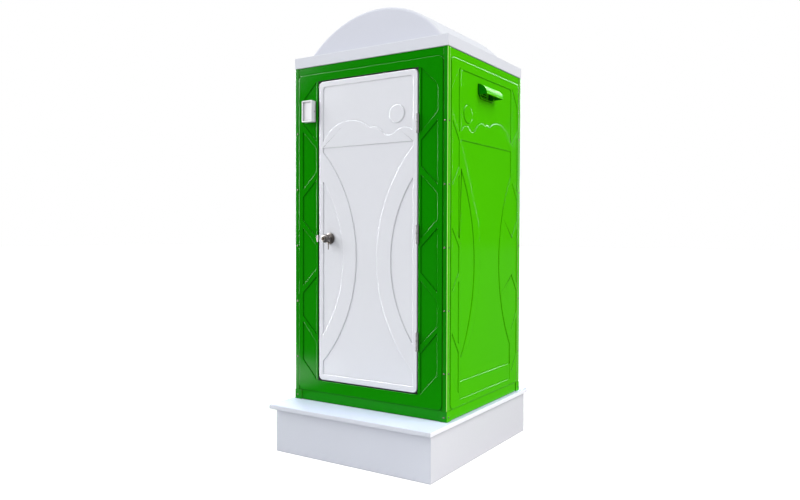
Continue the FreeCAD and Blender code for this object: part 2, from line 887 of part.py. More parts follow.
def make_corners():
    leg, thick = s.angle_leg, s.angle_thickness
    foot = new_body("corner_foot", kept=False)
    reach, wall = s.foot_leg, s.foot_thickness
    pad(foot, outline(sketch_on(foot, "XY_Plane"), [
        (-wall, -wall), (reach, -wall), (reach, 0), (0, 0), (0, reach), (-wall, reach)]), s.foot_height)
    places = {
        "front_left": (-1, front, 1, UP), "front_right": (1, front, 1, TO_RIGHT),
        "rear_right": (1, rear, -1, TO_REAR), "rear_left": (-1, rear, -1, TO_LEFT),
    }
    feet = []
    for corner, (side, y, inward, turn) in places.items():
        angle = new_body(f"corner_angle_{corner}")
        pad(angle, outline(sketch_on(angle, "XY_Plane"), [
            (0, 0), (leg, 0), (leg, thick), (thick, thick), (thick, leg), (0, leg)]),
            s.wall_height - s.foot_height)
        place(angle, half * side, y, base + s.foot_height, turn)
        feet.append(copy_at(foot, (half - thick) * side, y + thick * inward, base, turn))
    group("corner_feet", feet)


def make_hoods():
    for label, side, turn in (("vent_hood_right", 1, UP), ("vent_hood_left", -1, TO_REAR)):
        hood = new_body(label)
        near = s.hood_start if side > 0 else s.hood_start + s.hood_length
        for inset, kind in ((0, pad), (s.hood_shell, pocket)):
            reach, height = s.hood_reach - inset, s.hood_height - inset
            arc = s.hood_height - inset
            profile = outline(sketch_on(hood, "XZ_Plane", -inset), [(0, 0), (reach, 0, arc), (0, height)])
            kind(hood, profile, s.hood_length - plain(inset) * 2, back=kind is pad)
        place(hood, (half - face - s.recess_depth) * side, front + near, base + s.hood_top - s.hood_height,
              turn)


# Roof

def make_roof():
    wide, deep = half + s.fascia_proud, s.cabin_depth + s.fascia_proud * 2
    near = front - s.fascia_proud
    wall, thin = s.fascia_wall, s.roof_sheet
    block = box(-wide, near, top, wide * 2, deep, s.fascia_height)
    core = box(-wide + wall, near + wall, top + thin, wide * 2 - wall * 2, deep - wall * 2,
               s.fascia_height - thin * 2)
    seat = s.roof_seat
    mouth = box(-half + seat, front + seat, top, s.cabin_width - seat * 2, s.cabin_depth - seat * 2, thin)
    light = vault_half - s.light_margin
    light_y = front + s.vault_inset + s.light_margin
    well = box(-light, light_y, roof - thin, light * 2, vault_length - s.light_margin * 2, thin)
    pipe_hole = rod(pipe_x, pipe_y, roof - thin, s.pipe_radius + s.running_gap, thin)
    keep("roof_tray", cut_all(block, [core, mouth, well, pipe_hole], "roof_tray"))

    shell = cut(vault(0, "vault_outside"), vault(s.vault_shell, "vault_inside"), "vault_shell")
    rim_half = vault_half + s.vault_flange
    rim_y = front + s.vault_inset - s.vault_flange
    rim = box(-rim_half, rim_y, roof, rim_half * 2, vault_length + s.vault_flange * 2,
              s.vault_flange_thickness)
    eye_y = rim_y + s.vault_flange + s.vault_shell
    eye_half = vault_half - s.vault_shell * 2
    eye = box(-eye_half, eye_y, roof, eye_half * 2, vault_length - s.vault_shell * 2,
              s.vault_flange_thickness)
    notch = rod(pipe_x, pipe_y, roof, s.pipe_radius + s.pipe_notch_gap, s.vault_flange_thickness)
    keep("roof_vault", fuse([shell, cut_all(rim, [eye, notch], "vault_rim")], "roof_vault"))


def vault(inset, name):
    """A barrel along Y whose ends lean inwards and meet it in a round."""
    length = vault_length - inset * 2
    barrel = rod(0, front + s.vault_inset / 2, vault_centre, vault_radius - inset,
                 s.cabin_depth - s.vault_inset, ALONG_Y)
    ends = doc.addObject("Part::Wedge", "ends")
    rise = s.vault_rise + s.vault_shell
    lean = s.vault_lean
    for prop, size in (("Xmin", -half), ("Xmax", half), ("X2min", -half), ("X2max", half),
                       ("Ymin", 0), ("Ymax", rise), ("Zmin", -length / 2), ("Zmax", length / 2),
                       ("Z2min", -length / 2 + lean), ("Z2max", length / 2 - lean)):
        bind(ends, prop, size)
    place(ends, 0, front + s.vault_inset + vault_length / 2, roof, Rotation(Vector(1, 0, 0), 90))
    form = common([barrel, ends], name)
    round_radius = plain(s.vault_edge - inset)
    soft = doc.addObject("Part::Fillet", f"{name}_softened")
    soft.Base = form
    soft.Edges = [(i, round_radius, round_radius)
                  for i, edge in enumerate(form.Shape.Edges, start=1)
                  if edge.Curve.TypeId != "Part::GeomLine"]
    doc.recompute()
    return soft


# Door, hinges and lock

def door_layer(label, level, thickness):
    layer = new_body(label)
    sketch = rounded_rectangle(sketch_on(layer, "XZ_Plane", -(level + thickness)), -door_half, s.door_sill,
                               door_half, door_top, s.door_corner)
    pad(layer, sketch, thickness)
    return layer


def bore_for_spindle(layer, level, thickness):
    hole = circle(sketch_on(layer, "XZ_Plane", -level), lock_side, s.lock_z, s.neck_radius)
    pocket(layer, hole, thickness)
    place(layer, 0, front, base)


def make_door():
    skin = door_layer("door_outer_skin", face, s.door_skin)
    round_edges(skin, s.door_edge_round, at_level("Y", face))
    door_relief(skin, -door_half + s.door_border, door_half - s.door_border)
    bore_for_spindle(skin, face, s.door_skin)

    core_level = face + s.door_skin
    core = door_layer("door_core", core_level, s.door_core)
    seat = rectangle(sketch_on(core, "YZ_Plane", -door_half), core_level,
                     s.lock_z - s.face_plate_height / 2, core_level + s.face_plate_width,
                     s.lock_z + s.face_plate_height / 2)
    pocket(core, seat, s.face_plate_thickness, back=True)
    tunnel = circle(sketch_on(core, "YZ_Plane", -door_half), latch_y, s.lock_z, s.latch_case_radius)
    pocket(core, tunnel, lock_side + door_half + s.latch_tail, back=True)
    bore_for_spindle(core, core_level, s.door_core)

    lining_level = core_level + s.door_core
    lining = door_layer("door_inner_skin", lining_level, s.door_lining)
    bore_for_spindle(lining, lining_level, s.door_lining)

    reach = s.stop_reach
    stop = new_body("door_stop")
    cover = s.stop_cover
    pad(stop, rectangle(sketch_on(stop, "XZ_Plane", -(panel_back + s.stop_thickness)),
                        -opening_half - cover, s.door_sill - s.door_gap - s.stop_cover_bottom,
                        opening_half + cover, door_top + s.door_gap + cover), s.stop_thickness)
    window = rounded_rectangle(sketch_on(stop, "XZ_Plane", -panel_back), -door_half + reach,
                               s.door_sill + reach, door_half - reach, door_top - reach, s.door_corner)
    pocket(stop, window, s.stop_thickness)
    place(stop, 0, front, base)


def make_hinge(name, middle):
    """A lift-off hinge: the door's knuckle drops over the frame's pin."""
    foot = middle - s.hinge_height / 2
    upper = middle + s.hinge_height / 2 - s.hinge_upper
    lower_height = s.hinge_height - s.hinge_upper - s.hinge_washer - s.clear_gap
    leaf_y = hinge_y + s.hinge_radius + s.clear_gap * 2
    leaves = {
        "hinge_frame_leaf": (opening_half - s.hinge_leaf, foot, lower_height, s.hinge_pin_radius),
        "hinge_door_leaf": (door_half, upper, s.hinge_upper, s.hinge_pin_radius + s.running_gap),
    }
    for part, (leaf_x, knuckle_z, knuckle_height, bore) in leaves.items():
        leaf = box(leaf_x, front + leaf_y, base + foot, s.hinge_leaf, face + s.hinge_leaf_depth - leaf_y,
                   s.hinge_height)
        web = box(leaf_x, front + hinge_y, base + knuckle_z, s.hinge_leaf, leaf_y - hinge_y, knuckle_height)
        knuckle = rod(hinge_x, front + hinge_y, base + knuckle_z, s.hinge_radius, knuckle_height)
        hole = rod(hinge_x, front + hinge_y, base + knuckle_z, bore, knuckle_height)
        keep(f"{part}_{name}", cut(fuse([leaf, web, knuckle]), hole, f"{part}_{name}"))
    pin_rod = rod(hinge_x, front + hinge_y, base + foot, s.hinge_pin_radius,
                  s.hinge_height - s.hinge_pin_drop, name="pin")
    ring_z = base + foot + lower_height
    ring = cut(rod(hinge_x, front + hinge_y, ring_z, s.hinge_radius - s.hinge_washer_inset, s.hinge_washer),
               rod(hinge_x, front + hinge_y, ring_z, s.hinge_pin_radius, s.hinge_washer))
    return pin_rod, ring


def make_hinges():
    made = [make_hinge("top", s.hinge_top), make_hinge("middle", s.hinge_middle),
            make_hinge("bottom", s.hinge_bottom)]
    group("hinge_pins", [pins for pins, rings in made])
    group("hinge_washers", [rings for pins, rings in made])


def make_knob_sides():
    """Rose and knob, outside and inside, from the same profiles."""
    lock_height = base + s.lock_z
    neck_hole = s.neck_radius + s.running_gap
    dome = arc_radius(s.rose_radius - s.rose_flat, s.rose_thickness - s.rose_rim, s.rose_bulge)
    neck, radius, cap = s.neck_radius, s.knob_radius, s.knob_face
    tip = -s.neck_length - s.knob_length
    belly = -s.neck_length - s.knob_length / 2
    nose = arc_radius(radius - cap, s.knob_length / 2, s.knob_bulge)
    cheek = arc_radius(radius - neck, s.knob_length / 2, s.knob_bulge)
    socket = s.plug_radius + s.running_gap
    for side, seat, turn in (("outer", front + face, UP), ("inner", front + door_back, TO_REAR)):
        rose = turned(f"{side}_rose", [
            (neck_hole, -s.rose_thickness), (s.rose_flat, -s.rose_thickness, dome),
            (s.rose_radius, -s.rose_rim), (s.rose_radius, 0), (neck_hole, 0)])
        place(rose, lock_side, seat, lock_height, turn)
        knob = turned(f"{side}_knob", [
            (0, -s.running_gap), (0, tip + s.plug_depth), (socket, tip + s.plug_depth), (socket, tip),
            (cap, tip, nose), (radius, belly, cheek), (neck, -s.neck_length), (neck, -s.running_gap)])
        place(knob, lock_side, seat, lock_height, turn)
    tip_y = front + face - s.neck_length - s.knob_length
    barrel = rod(lock_side, tip_y - s.plug_proud, lock_height, s.plug_radius, s.plug_depth, ALONG_Y)
    keyway = box(lock_side - s.keyway_width / 2, tip_y - s.plug_proud, lock_height - s.keyway_height / 2,
                 s.keyway_width, s.keyway_depth, s.keyway_height)
    keep("lock_plug", cut(barrel, keyway, "lock_plug"))
    end_y = front + door_back + s.neck_length + s.knob_length
    stem = rod(lock_side, end_y - s.plug_depth + s.plug_proud, lock_height, s.plug_radius, s.plug_depth,
               ALONG_Y)
    grip = box(lock_side - s.button_length / 2, end_y + s.plug_proud, lock_height - s.button_width / 2,
               s.button_length, s.button_reach, s.button_width)
    keep("turn_button", fuse([stem, grip], "turn_button"))
    spindle = rod(lock_side, front + face - s.running_gap, lock_height, s.spindle_radius,
                  door_back - face + s.running_gap * 2, ALONG_Y, "spindle")
    keep("spindle", spindle)


def make_latch():
    lock_height, y = base + s.lock_z, front + latch_y
    edge = -door_half
    inside = edge + s.face_plate_thickness
    case = rod(inside, y, lock_height, s.latch_case_radius, lock_side + s.latch_tail - inside, ALONG_X)
    bolt_bore = rod(inside, y, lock_height, s.latch_radius + s.running_gap, s.latch_length + s.clear_gap,
                    ALONG_X)
    cross = rod(lock_side, y - s.latch_case_radius, lock_height, s.spindle_radius + s.running_gap,
                s.latch_case_radius * 2, ALONG_Y)
    keep("latch_case", cut_all(case, [bolt_bore, cross], "latch_case"))
    plate_block = box(edge, y - s.face_plate_width / 2, lock_height - s.face_plate_height / 2,
                      s.face_plate_thickness, s.face_plate_width, s.face_plate_height)
    eye = rod(edge, y, lock_height, s.latch_radius + s.running_gap, s.face_plate_thickness, ALONG_X)
    keep("latch_face_plate", cut(plate_block, eye, "latch_face_plate"))
    tongue = rod(edge, y, lock_height, s.latch_radius, s.latch_length, ALONG_X)
    bevel = box(edge, y, lock_height - s.latch_radius, s.latch_throw * 2, s.latch_radius * 3,
                s.latch_radius * 2)
    bevel.Placement = Placement(bevel.Placement.Base, LATCH_BEVEL)
    keep("latch_bolt", cut(tongue, bevel, "latch_bolt"))

    keep_height = s.strike_height
    leg = box(-opening_half - s.strike_thickness, front + face, lock_height - keep_height / 2,
              s.strike_thickness, s.strike_leg, keep_height)
    lip = box(-opening_half - s.strike_lip, front + face - s.strike_thickness,
              lock_height - keep_height / 2, s.strike_lip, s.strike_thickness, keep_height)
    slot = rod(-opening_half - s.strike_thickness, y, lock_height, s.latch_radius + s.latch_pocket_gap,
               s.strike_thickness, ALONG_X)
    keep("strike_plate", cut(fuse([leg, lip]), slot, "strike_plate"))


def make_hanging_key():
    lock_height = base + s.lock_z
    ring_y = front + face - (s.rose_thickness + s.neck_length) / 2
    drop = s.ring_radius - s.ring_wire - s.neck_radius - s.running_gap
    ring = doc.addObject("Part::Torus", "key_ring")
    bind(ring, "Radius1", s.ring_radius)
    bind(ring, "Radius2", s.ring_wire)
    place(ring, lock_side, ring_y, lock_height - drop, ALONG_Y)
    keep("key_ring", ring)
    hole_z = lock_height - drop - s.ring_radius + s.ring_wire + s.running_gap * 2 - s.key_hole
    bow_z = hole_z - s.key_hole + s.ring_wire
    side = lock_side - s.key_thickness / 2
    bow = rod(side, ring_y, bow_z, s.key_bow, s.key_thickness, ALONG_X)
    blade_width = s.key_bow * BLADE_SHARE
    blade = box(side, ring_y - blade_width / 2, bow_z - s.key_bow - s.key_blade, s.key_thickness,
                blade_width, s.key_blade + s.key_bow / 2)
    hole = rod(side, ring_y, hole_z, s.key_hole, s.key_thickness, ALONG_X)
    bits = [rod(side, ring_y - blade_width / 2, bow_z - s.key_bow - s.key_blade * part, blade_width / 4,
                s.key_thickness, ALONG_X) for part in BIT_PLACES]
    keep("spare_key", cut_all(fuse([bow, blade]), [hole] + bits, "spare_key"))


def make_wall_box():
    """The small box beside the door, on the floor of its chevron."""
    wide, high = s.wall_box_width / 2, s.wall_box_height / 2
    seat = face + s.recess_depth
    parting = seat - s.wall_box_depth + s.wall_box_cover
    step = s.wall_box_step
    housing = new_body("wall_box_body")
    pad(housing, rectangle(sketch_on(housing, "XZ_Plane", -seat), -wide + step, -high + step, wide - step,
                           high - step), seat - parting)
    cover = new_body("wall_box_cover")
    pad(cover, rounded_rectangle(sketch_on(cover, "XZ_Plane", -parting), -wide, -high, wide, high,
                                 s.wall_box_corner), s.wall_box_cover)
    round_edges(cover, s.wall_box_edge, at_level("Y", parting - s.wall_box_cover))
    rim = s.wall_box_rim
    pocket(cover, rectangle(sketch_on(cover, "XZ_Plane", -(parting - s.wall_box_cover)), -wide + rim,
                            -high + rim, wide - rim, high - rim), s.wall_box_recess)
    for piece in (housing, cover):
        place(piece, box_side, front, base + s.wall_box_z)
    heads = [rod(box_side + x, front + (seat + parting) / 2, base + s.wall_box_z, s.box_screw_radius,
                 s.box_screw_height, ALONG_X)
             for x in (-wide + step - s.box_screw_height, wide - step)]
    group("wall_box_screws", heads)


# Inside

def make_floor():
    pan = new_body("floor_pan")
    wide = half - panel_back - s.floor_gap
    near = front + panel_back + s.stop_thickness + s.floor_gap
    far = rear - panel_back - s.floor_gap
    thin = s.floor_sheet
    pad(pan, rectangle(sketch_on(pan, "XY_Plane"), -wide, near, wide, far), s.floor_height)
    pocket(pan, rectangle(sketch_on(pan, "XY_Plane"), -wide + thin, near + thin, wide - thin, far - thin),
           s.floor_height - thin, back=True)
    collar = circle(sketch_on(pan, "XY_Plane"), 0, pedestal_y, s.drop_radius + thin)
    circle(collar, pipe_x, pipe_y, s.pipe_radius + s.pipe_collar)
    pad(pan, collar, s.floor_height - thin / 2)
    holes = circle(sketch_on(pan, "XY_Plane", s.floor_height), 0, pedestal_y, s.drop_radius)
    circle(holes, pipe_x, pipe_y, s.pipe_radius + s.running_gap)
    pocket(pan, holes, s.floor_height)
    rib_half = wide - s.rib_margin
    first = near + s.rib_pitch
    rib = rectangle(sketch_on(pan, "XY_Plane", s.floor_height), -rib_half, first, rib_half,
                    first + s.rib_width)
    ribs = pad(pan, rib, s.rib_height)
    row = pan.newObject("PartDesign::LinearPattern", "rib_row")
    row.Originals = [ribs]
    row.Direction = (origin_feature(pan, "Y_Axis"), [""])
    bind(row, "Occurrences", s.rib_count)
    bind(row, "Length", s.rib_pitch * (s.rib_count - 1))
    pan.Tip = row
    doc.recompute()
    place(pan, 0, 0, base)


def make_pedestal():
    high, rim, foot = s.pedestal_height, s.pedestal_rim, s.pedestal_base
    throat, mouth, lip = s.drop_radius, s.pedestal_mouth, s.pedestal_lip
    under_rim, waist_top = rim - s.pedestal_overhang, high - lip - s.pedestal_overhang
    outside = -arc_radius(under_rim - foot, waist_top - s.pedestal_foot, s.pedestal_waist)
    inside = -arc_radius(mouth - throat, s.bowl_depth, s.bowl_bulge)
    bowl = turned("pedestal_bowl", [
        (throat, 0), (foot, 0), (foot, s.pedestal_foot, outside), (under_rim, waist_top),
        (rim, high - lip), (rim, high), (mouth, high, inside), (throat, high - s.bowl_depth),
    ], "XZ_Plane", kept=False)
    place(bowl, 0, pedestal_y, floor_top)
    shelf_y = pedestal_y + mouth + s.shelf_overlap
    shelf = box(-s.shelf_width / 2, shelf_y, floor_top + high - lip, s.shelf_width,
                rod_y - shelf_y + s.shelf_overlap, lip)
    keep("pedestal", fuse([bowl, shelf], "pedestal"))

    lug, post_width = s.seat_thickness / 2, s.seat_post_width
    posts = [box(x - post_width / 2, rod_y - lug, floor_top + high, post_width, lug * 2,
                 lug * 2 + s.seat_gap) for x in (-s.seat_post_x, s.seat_post_x)]
    pin_rod = rod(-s.seat_post_x, rod_y, rod_z, s.seat_rod, s.seat_post_x * 2, ALONG_X)
    keep("seat_hinge", fuse(posts + [pin_rod], "seat_hinge"))

    thick, inner, outer = s.seat_thickness, s.seat_inner, s.seat_outer
    soft, seat_z, lug_width = thick / 3, floor_top + high + s.seat_gap, s.seat_lug_width
    ring = turned("seat_blank", [
        (inner, 0), (outer, 0), (outer, thick - soft, soft), (outer - soft, thick),
        (inner + soft * 2, thick, soft * 3), (inner, thick - soft),
    ], "XZ_Plane", kept=False)
    place(ring, 0, pedestal_y, seat_z)
    lug_y = pedestal_y + outer - s.seat_rod_back
    lugs, bores = [], []
    for x in (-s.seat_lug_x, s.seat_lug_x):
        lugs.append(box(x - lug_width / 2, lug_y, seat_z, lug_width, rod_y - lug_y, thick))
        lugs.append(rod(x - lug_width / 2, rod_y, rod_z, lug, lug_width, ALONG_X))
        bores.append(rod(x - lug_width / 2, rod_y, rod_z, s.seat_rod + s.running_gap, lug_width, ALONG_X))
    keep("seat_ring", cut_all(fuse([ring] + lugs), bores, "seat_ring"))


def make_vent_pipe():
    bottom, height = s.tank_height, roof + s.pipe_above_roof - s.tank_height
    pipe = cut(rod(pipe_x, pipe_y, bottom, s.pipe_radius, height),
               rod(pipe_x, pipe_y, bottom, s.pipe_radius - s.pipe_wall, height), "vent_pipe")
    keep("vent_pipe", pipe)

    end, fit = bottom + height, s.pipe_radius + s.running_gap
    outside = fit + s.cowl_wall
    sleeve = cut(rod(pipe_x, pipe_y, end - s.cowl_sleeve, outside, s.cowl_sleeve),
                 rod(pipe_x, pipe_y, end - s.cowl_sleeve, fit, s.cowl_sleeve))
    posts = [rod(pipe_x + outside * x, pipe_y + outside * y, end - s.cowl_sleeve, s.cowl_wall,
                 s.cowl_sleeve + s.cowl_gap) for x, y in ((-1, 0), (1, 0), (0, -1), (0, 1))]
    cap = doc.addObject("Part::Cone", "cowl_cap")
    for prop, size in (("Radius1", s.cowl_radius), ("Radius2", s.cowl_wall), ("Height", s.cowl_cap)):
        bind(cap, prop, size)
    place(cap, pipe_x, pipe_y, end + s.cowl_gap)
    keep("vent_cowl", fuse([sleeve, cap] + posts, "vent_cowl"))

    wall_y = rear - panel_back
    clips = []
    for step in range(PIPE_CLIPS):
        z = floor_top + (top - floor_top) * (step + 1) / (PIPE_CLIPS + 1)
        ring = rod(pipe_x, pipe_y, z, s.pipe_radius + s.clip_wall, s.clip_height)
        bridge = box(pipe_x - s.clip_bridge / 2, pipe_y, z, s.clip_bridge, wall_y - pipe_y, s.clip_height)
        hole = rod(pipe_x, pipe_y, z, s.pipe_radius, s.clip_height)
        clips.append(cut(fuse([ring, bridge]), hole, "clip"))
    group("pipe_clips", clips)


def make_paper_holder():
    wall_x = -half + panel_back
    z, y, sheet_metal, arm = base + s.paper_z, s.paper_y, s.bracket_sheet, s.bracket_arm
    arm_gap = s.roll_length / 2 + s.roll_side_gap
    axis_x = wall_x + s.roll_radius + s.roll_wall_gap
    back = box(wall_x, y - arm_gap - sheet_metal, z - s.bracket_height / 2, sheet_metal,
               (arm_gap + sheet_metal) * 2, s.bracket_height)
    arms = [box(wall_x, arm_y, z - arm / 2, axis_x - wall_x + arm / 2, sheet_metal, arm)
            for arm_y in (y - arm_gap - sheet_metal, y + arm_gap)]
    keep("paper_bracket", fuse([back] + arms, "paper_bracket"))
    roller = rod(axis_x, y - arm_gap, z, s.roller_radius, arm_gap * 2, ALONG_Y, "paper_roller")
    keep("paper_roller", roller)
    start = y - s.roll_length / 2
    roll = cut(rod(axis_x, start, z, s.roll_radius, s.roll_length, ALONG_Y),
               rod(axis_x, start, z, s.roller_radius + s.running_gap, s.roll_length, ALONG_Y), "paper_roll")
    keep("paper_roll", roll)


def make_coat_hook():
    wall_x, y, z = half - panel_back, s.hook_y, base + s.hook_z
    tip_x, wire = wall_x - s.hook_reach, s.hook_wire
    back = box(wall_x - s.hook_plate, y - s.hook_plate_width / 2, z - s.hook_plate_height / 2, s.hook_plate,
               s.hook_plate_width, s.hook_plate_height)
    arm = rod(tip_x, y, z, wire, s.hook_reach - s.hook_plate / 2, ALONG_X)
    tip = rod(tip_x, y, z, wire, s.hook_tip)
    ends = []
    for end_z, radius in ((z, wire), (z + s.hook_tip, s.hook_ball)):
        ball = doc.addObject("Part::Sphere", "hook_end")
        bind(ball, "Radius", radius)
        ends.append(place(ball, tip_x, y, end_z))
    keep("coat_hook", fuse([back, arm, tip] + ends, "coat_hook"))


def make_screws():
    """The screws of the corner angles and feet, a row on each leg."""
    head, height = s.screw_head, s.screw_head_height
    screw = turned("screw", [
        (0, -s.screw_length), (s.screw_radius, -s.screw_length), (s.screw_radius, 0), (head, 0),
        (head, height / 2), (s.screw_head_top, height), (0, height),
    ], "XZ_Plane", kept=False)
    inset = s.screw_inset
    heights = [s.screw_first + s.screw_pitch * row for row in range(SCREW_ROWS)]
    rows = [(s.foot_screw_z, s.foot_thickness - s.angle_thickness)] + [(z, 0) for z in heights]
    screws = []
    for z, proud in rows:
        for side, x_way in ((-1, TO_MINUS_X), (1, ALONG_X)):
            for y, inward, y_way in ((front, 1, TO_MINUS_Y), (rear, -1, ALONG_Y)):
                screws.append(copy_at(screw, (half - inset) * side, y - proud * inward, base + z, y_way))
                screws.append(copy_at(screw, (half + proud) * side, y + inset * inward, base + z, x_way))
    group("panel_screws", screws)


def check_document():
    """Every object is computed, and every piece is a valid solid."""
    faults = [f"{o.Label}: {o.State}" for o in doc.Objects if {"Invalid", "Error"} & set(o.State)]
    for label, piece in PARTS.items():
        if piece.Shape.isNull() or not piece.Shape.isValid() or not piece.Shape.Solids:
            faults.append(f"{label}: no valid solid")
    if faults:
        raise ValueError("; ".join(faults))


def main():
    for make in (make_tank, make_deck, make_front_frame):
        make()
    side_wall("right_panel", half, front + panel_back, TO_RIGHT, mirror=False)
    side_wall("left_panel", -half, rear - panel_back, TO_LEFT, mirror=True)
    for make in (make_rear_panel, make_corners, make_hoods, make_roof, make_door, make_hinges,
                 make_knob_sides, make_latch, make_hanging_key, make_wall_box, make_floor, make_pedestal,
                 make_vent_pipe, make_paper_holder, make_coat_hook, make_screws):
        make()
    doc.recompute()
    check_document()
    os.makedirs("parts", exist_ok=True)
    for label, piece in PARTS.items():
        piece.Shape.exportStep(f"parts/{label}.step")


main()
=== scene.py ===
"""Looks of a portable toilet cabin: moulded panels, door and lock, vaulted roof, holding tank and stage.

Metres. +Z is up and the door faces -Y. Each operator finishes one group of the cabin's pieces.
"""
import json
import math

import bmesh
import bpy
from mathutils import Matrix, Vector

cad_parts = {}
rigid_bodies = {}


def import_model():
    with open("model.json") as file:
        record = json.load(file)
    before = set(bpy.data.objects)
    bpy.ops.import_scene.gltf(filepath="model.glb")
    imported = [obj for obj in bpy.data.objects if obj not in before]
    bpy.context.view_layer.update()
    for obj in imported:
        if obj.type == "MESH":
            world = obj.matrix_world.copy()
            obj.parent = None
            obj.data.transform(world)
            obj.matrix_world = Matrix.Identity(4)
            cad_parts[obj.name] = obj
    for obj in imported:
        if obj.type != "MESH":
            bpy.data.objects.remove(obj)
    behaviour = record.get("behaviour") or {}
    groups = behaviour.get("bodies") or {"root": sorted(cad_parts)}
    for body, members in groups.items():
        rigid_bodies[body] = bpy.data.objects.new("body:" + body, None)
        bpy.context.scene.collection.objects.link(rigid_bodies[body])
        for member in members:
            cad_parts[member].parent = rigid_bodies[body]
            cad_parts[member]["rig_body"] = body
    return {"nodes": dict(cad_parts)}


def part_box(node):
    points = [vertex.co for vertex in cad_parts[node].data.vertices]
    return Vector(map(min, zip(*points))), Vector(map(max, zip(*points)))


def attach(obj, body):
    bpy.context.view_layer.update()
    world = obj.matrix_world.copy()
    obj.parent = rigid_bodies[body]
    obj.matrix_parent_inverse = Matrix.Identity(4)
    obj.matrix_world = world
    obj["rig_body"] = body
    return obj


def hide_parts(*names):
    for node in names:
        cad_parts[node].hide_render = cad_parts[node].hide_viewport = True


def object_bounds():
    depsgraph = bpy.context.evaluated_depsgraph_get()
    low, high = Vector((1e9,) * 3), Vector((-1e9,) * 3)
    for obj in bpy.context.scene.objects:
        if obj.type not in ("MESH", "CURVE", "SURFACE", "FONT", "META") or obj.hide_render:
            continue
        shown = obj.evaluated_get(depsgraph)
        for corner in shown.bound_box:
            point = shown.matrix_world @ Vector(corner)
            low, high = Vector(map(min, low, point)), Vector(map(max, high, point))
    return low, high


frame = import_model()
SOLID_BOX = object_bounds()

bl_info = {
    "name": "Portable toilet cabin",
    "version": (1, 0, 0),
    "blender": (4, 5, 0),
    "location": "View3D > Sidebar > Cabin",
    "description": "Finishes a portable toilet cabin piece by piece and sets its stage",
    "category": "Object",
}

# The gap round the door and the radius of the door's corners
DOOR_GAP = 0.006
DOOR_CORNER = 0.028

# The painted highlight pales corners only this near to the right side of the solids' box
HIGHLIGHT_INSET = 0.0625

# The doorway's rubber: its clearance to the metal and the door's face, and the steps of its corners
SEAL_SPACE = 0.001
SEAL_STEPS = 10

# The black sheets of painted shade in the doorway's corners: their reach over the doorway's edge, own
# corner, thickness and steps
SHADE_SHEET_LIP = 0.0035
SHADE_SHEET_CORNER = 0.003
SHADE_SHEET_THICKNESS = 0.0005
SHADE_SHEET_STEPS = 8

# Points of a solid nearer to each other than this are one
WELD = 0.00002

# An edge that turns by more degrees than this is rounded, and one in a crease by a share of the rounding
SHARP_TURN = 28.0
KNOB_SHARP_TURN = 40.0
CREASE_SHARE = 0.2

# The range of most of a noise's values, how far a moulding's colour varies, and how fine brushing is
NOISE_RANGE = (0.3, 0.7)
MOTTLE = 0.01
BRUSHING = (60.0, 60.0, 1400.0)

# Where a colour starts and is full: a lit or shaded copy as a face turns towards its side, the painted
# highlight as a corner rounds, and the painted shade as a crease opens
FACING_RANGE = (0.55, 0.8)
HIGHLIGHT_RANGE = (0.03, 0.15)
CREASE_SHADE_RANGE = (0.45, 0.95)

# The lamps' directions, how broad they are, and how far off they stand
LAMPS = (("left_lamp", (-1.0, -0.62, 0.62)), ("right_lamp", (0.8, 0.12, 0.72)))
LAMP_BREADTH = math.radians(45)
LAMP_DISTANCE = 8.0

# The cool tint of the even light and of the room that glossy surfaces mirror
SKY_TINT = (0.96, 0.98, 1.0)

# Each softbox's direction, how nearly a mirrored ray points there at the box's edge and in its full light,
# and how many times as high as wide the box is
SOFTBOXES = (
    ("top_shine", (-0.45, 0.35, 0.82), (0.55, 0.65), 1.0),
    ("left_shine", (-1.0, 0.0, 0.0), (0.86, 0.92), 2.0),
    ("rear_shine", (-0.25, 0.93, 0.25), (0.9, 0.94), 1.0),
)

# The lit patch of floor: where it starts and is full on the left, its middle in Y, and how far from there
# it has faded away and is still full
PATCH_SIDE = (-1.5, -2.5)
PATCH_MIDDLE = -0.5
PATCH_REACH = (2.5, 1.5)


# Settings

def shade(red, green, blue):
    """The linear colour of a shade given as it shows on a screen."""
    levels = [channel / 255 for channel in (red, green, blue)]
    return tuple(c / 12.92 if c <= 0.04045 else ((c + 0.055) / 1.055) ** 2.4 for c in levels)


def colour(name, description, red, green, blue):
    return bpy.props.FloatVectorProperty(
        name=name, description=description, subtype="COLOR", size=3, min=0, max=1,
        default=shade(red, green, blue))


def length(name, description, metres):
    return bpy.props.FloatProperty(
        name=name, description=description, default=metres, min=0, precision=4, subtype="DISTANCE",
        unit="LENGTH")


def rotation(name, description, degrees):
    return bpy.props.FloatProperty(
        name=name, description=description, default=math.radians(degrees), subtype="ANGLE",
        unit="ROTATION")


def strength(name, description, amount):
    return bpy.props.FloatProperty(name=name, description=description, default=amount, min=0)


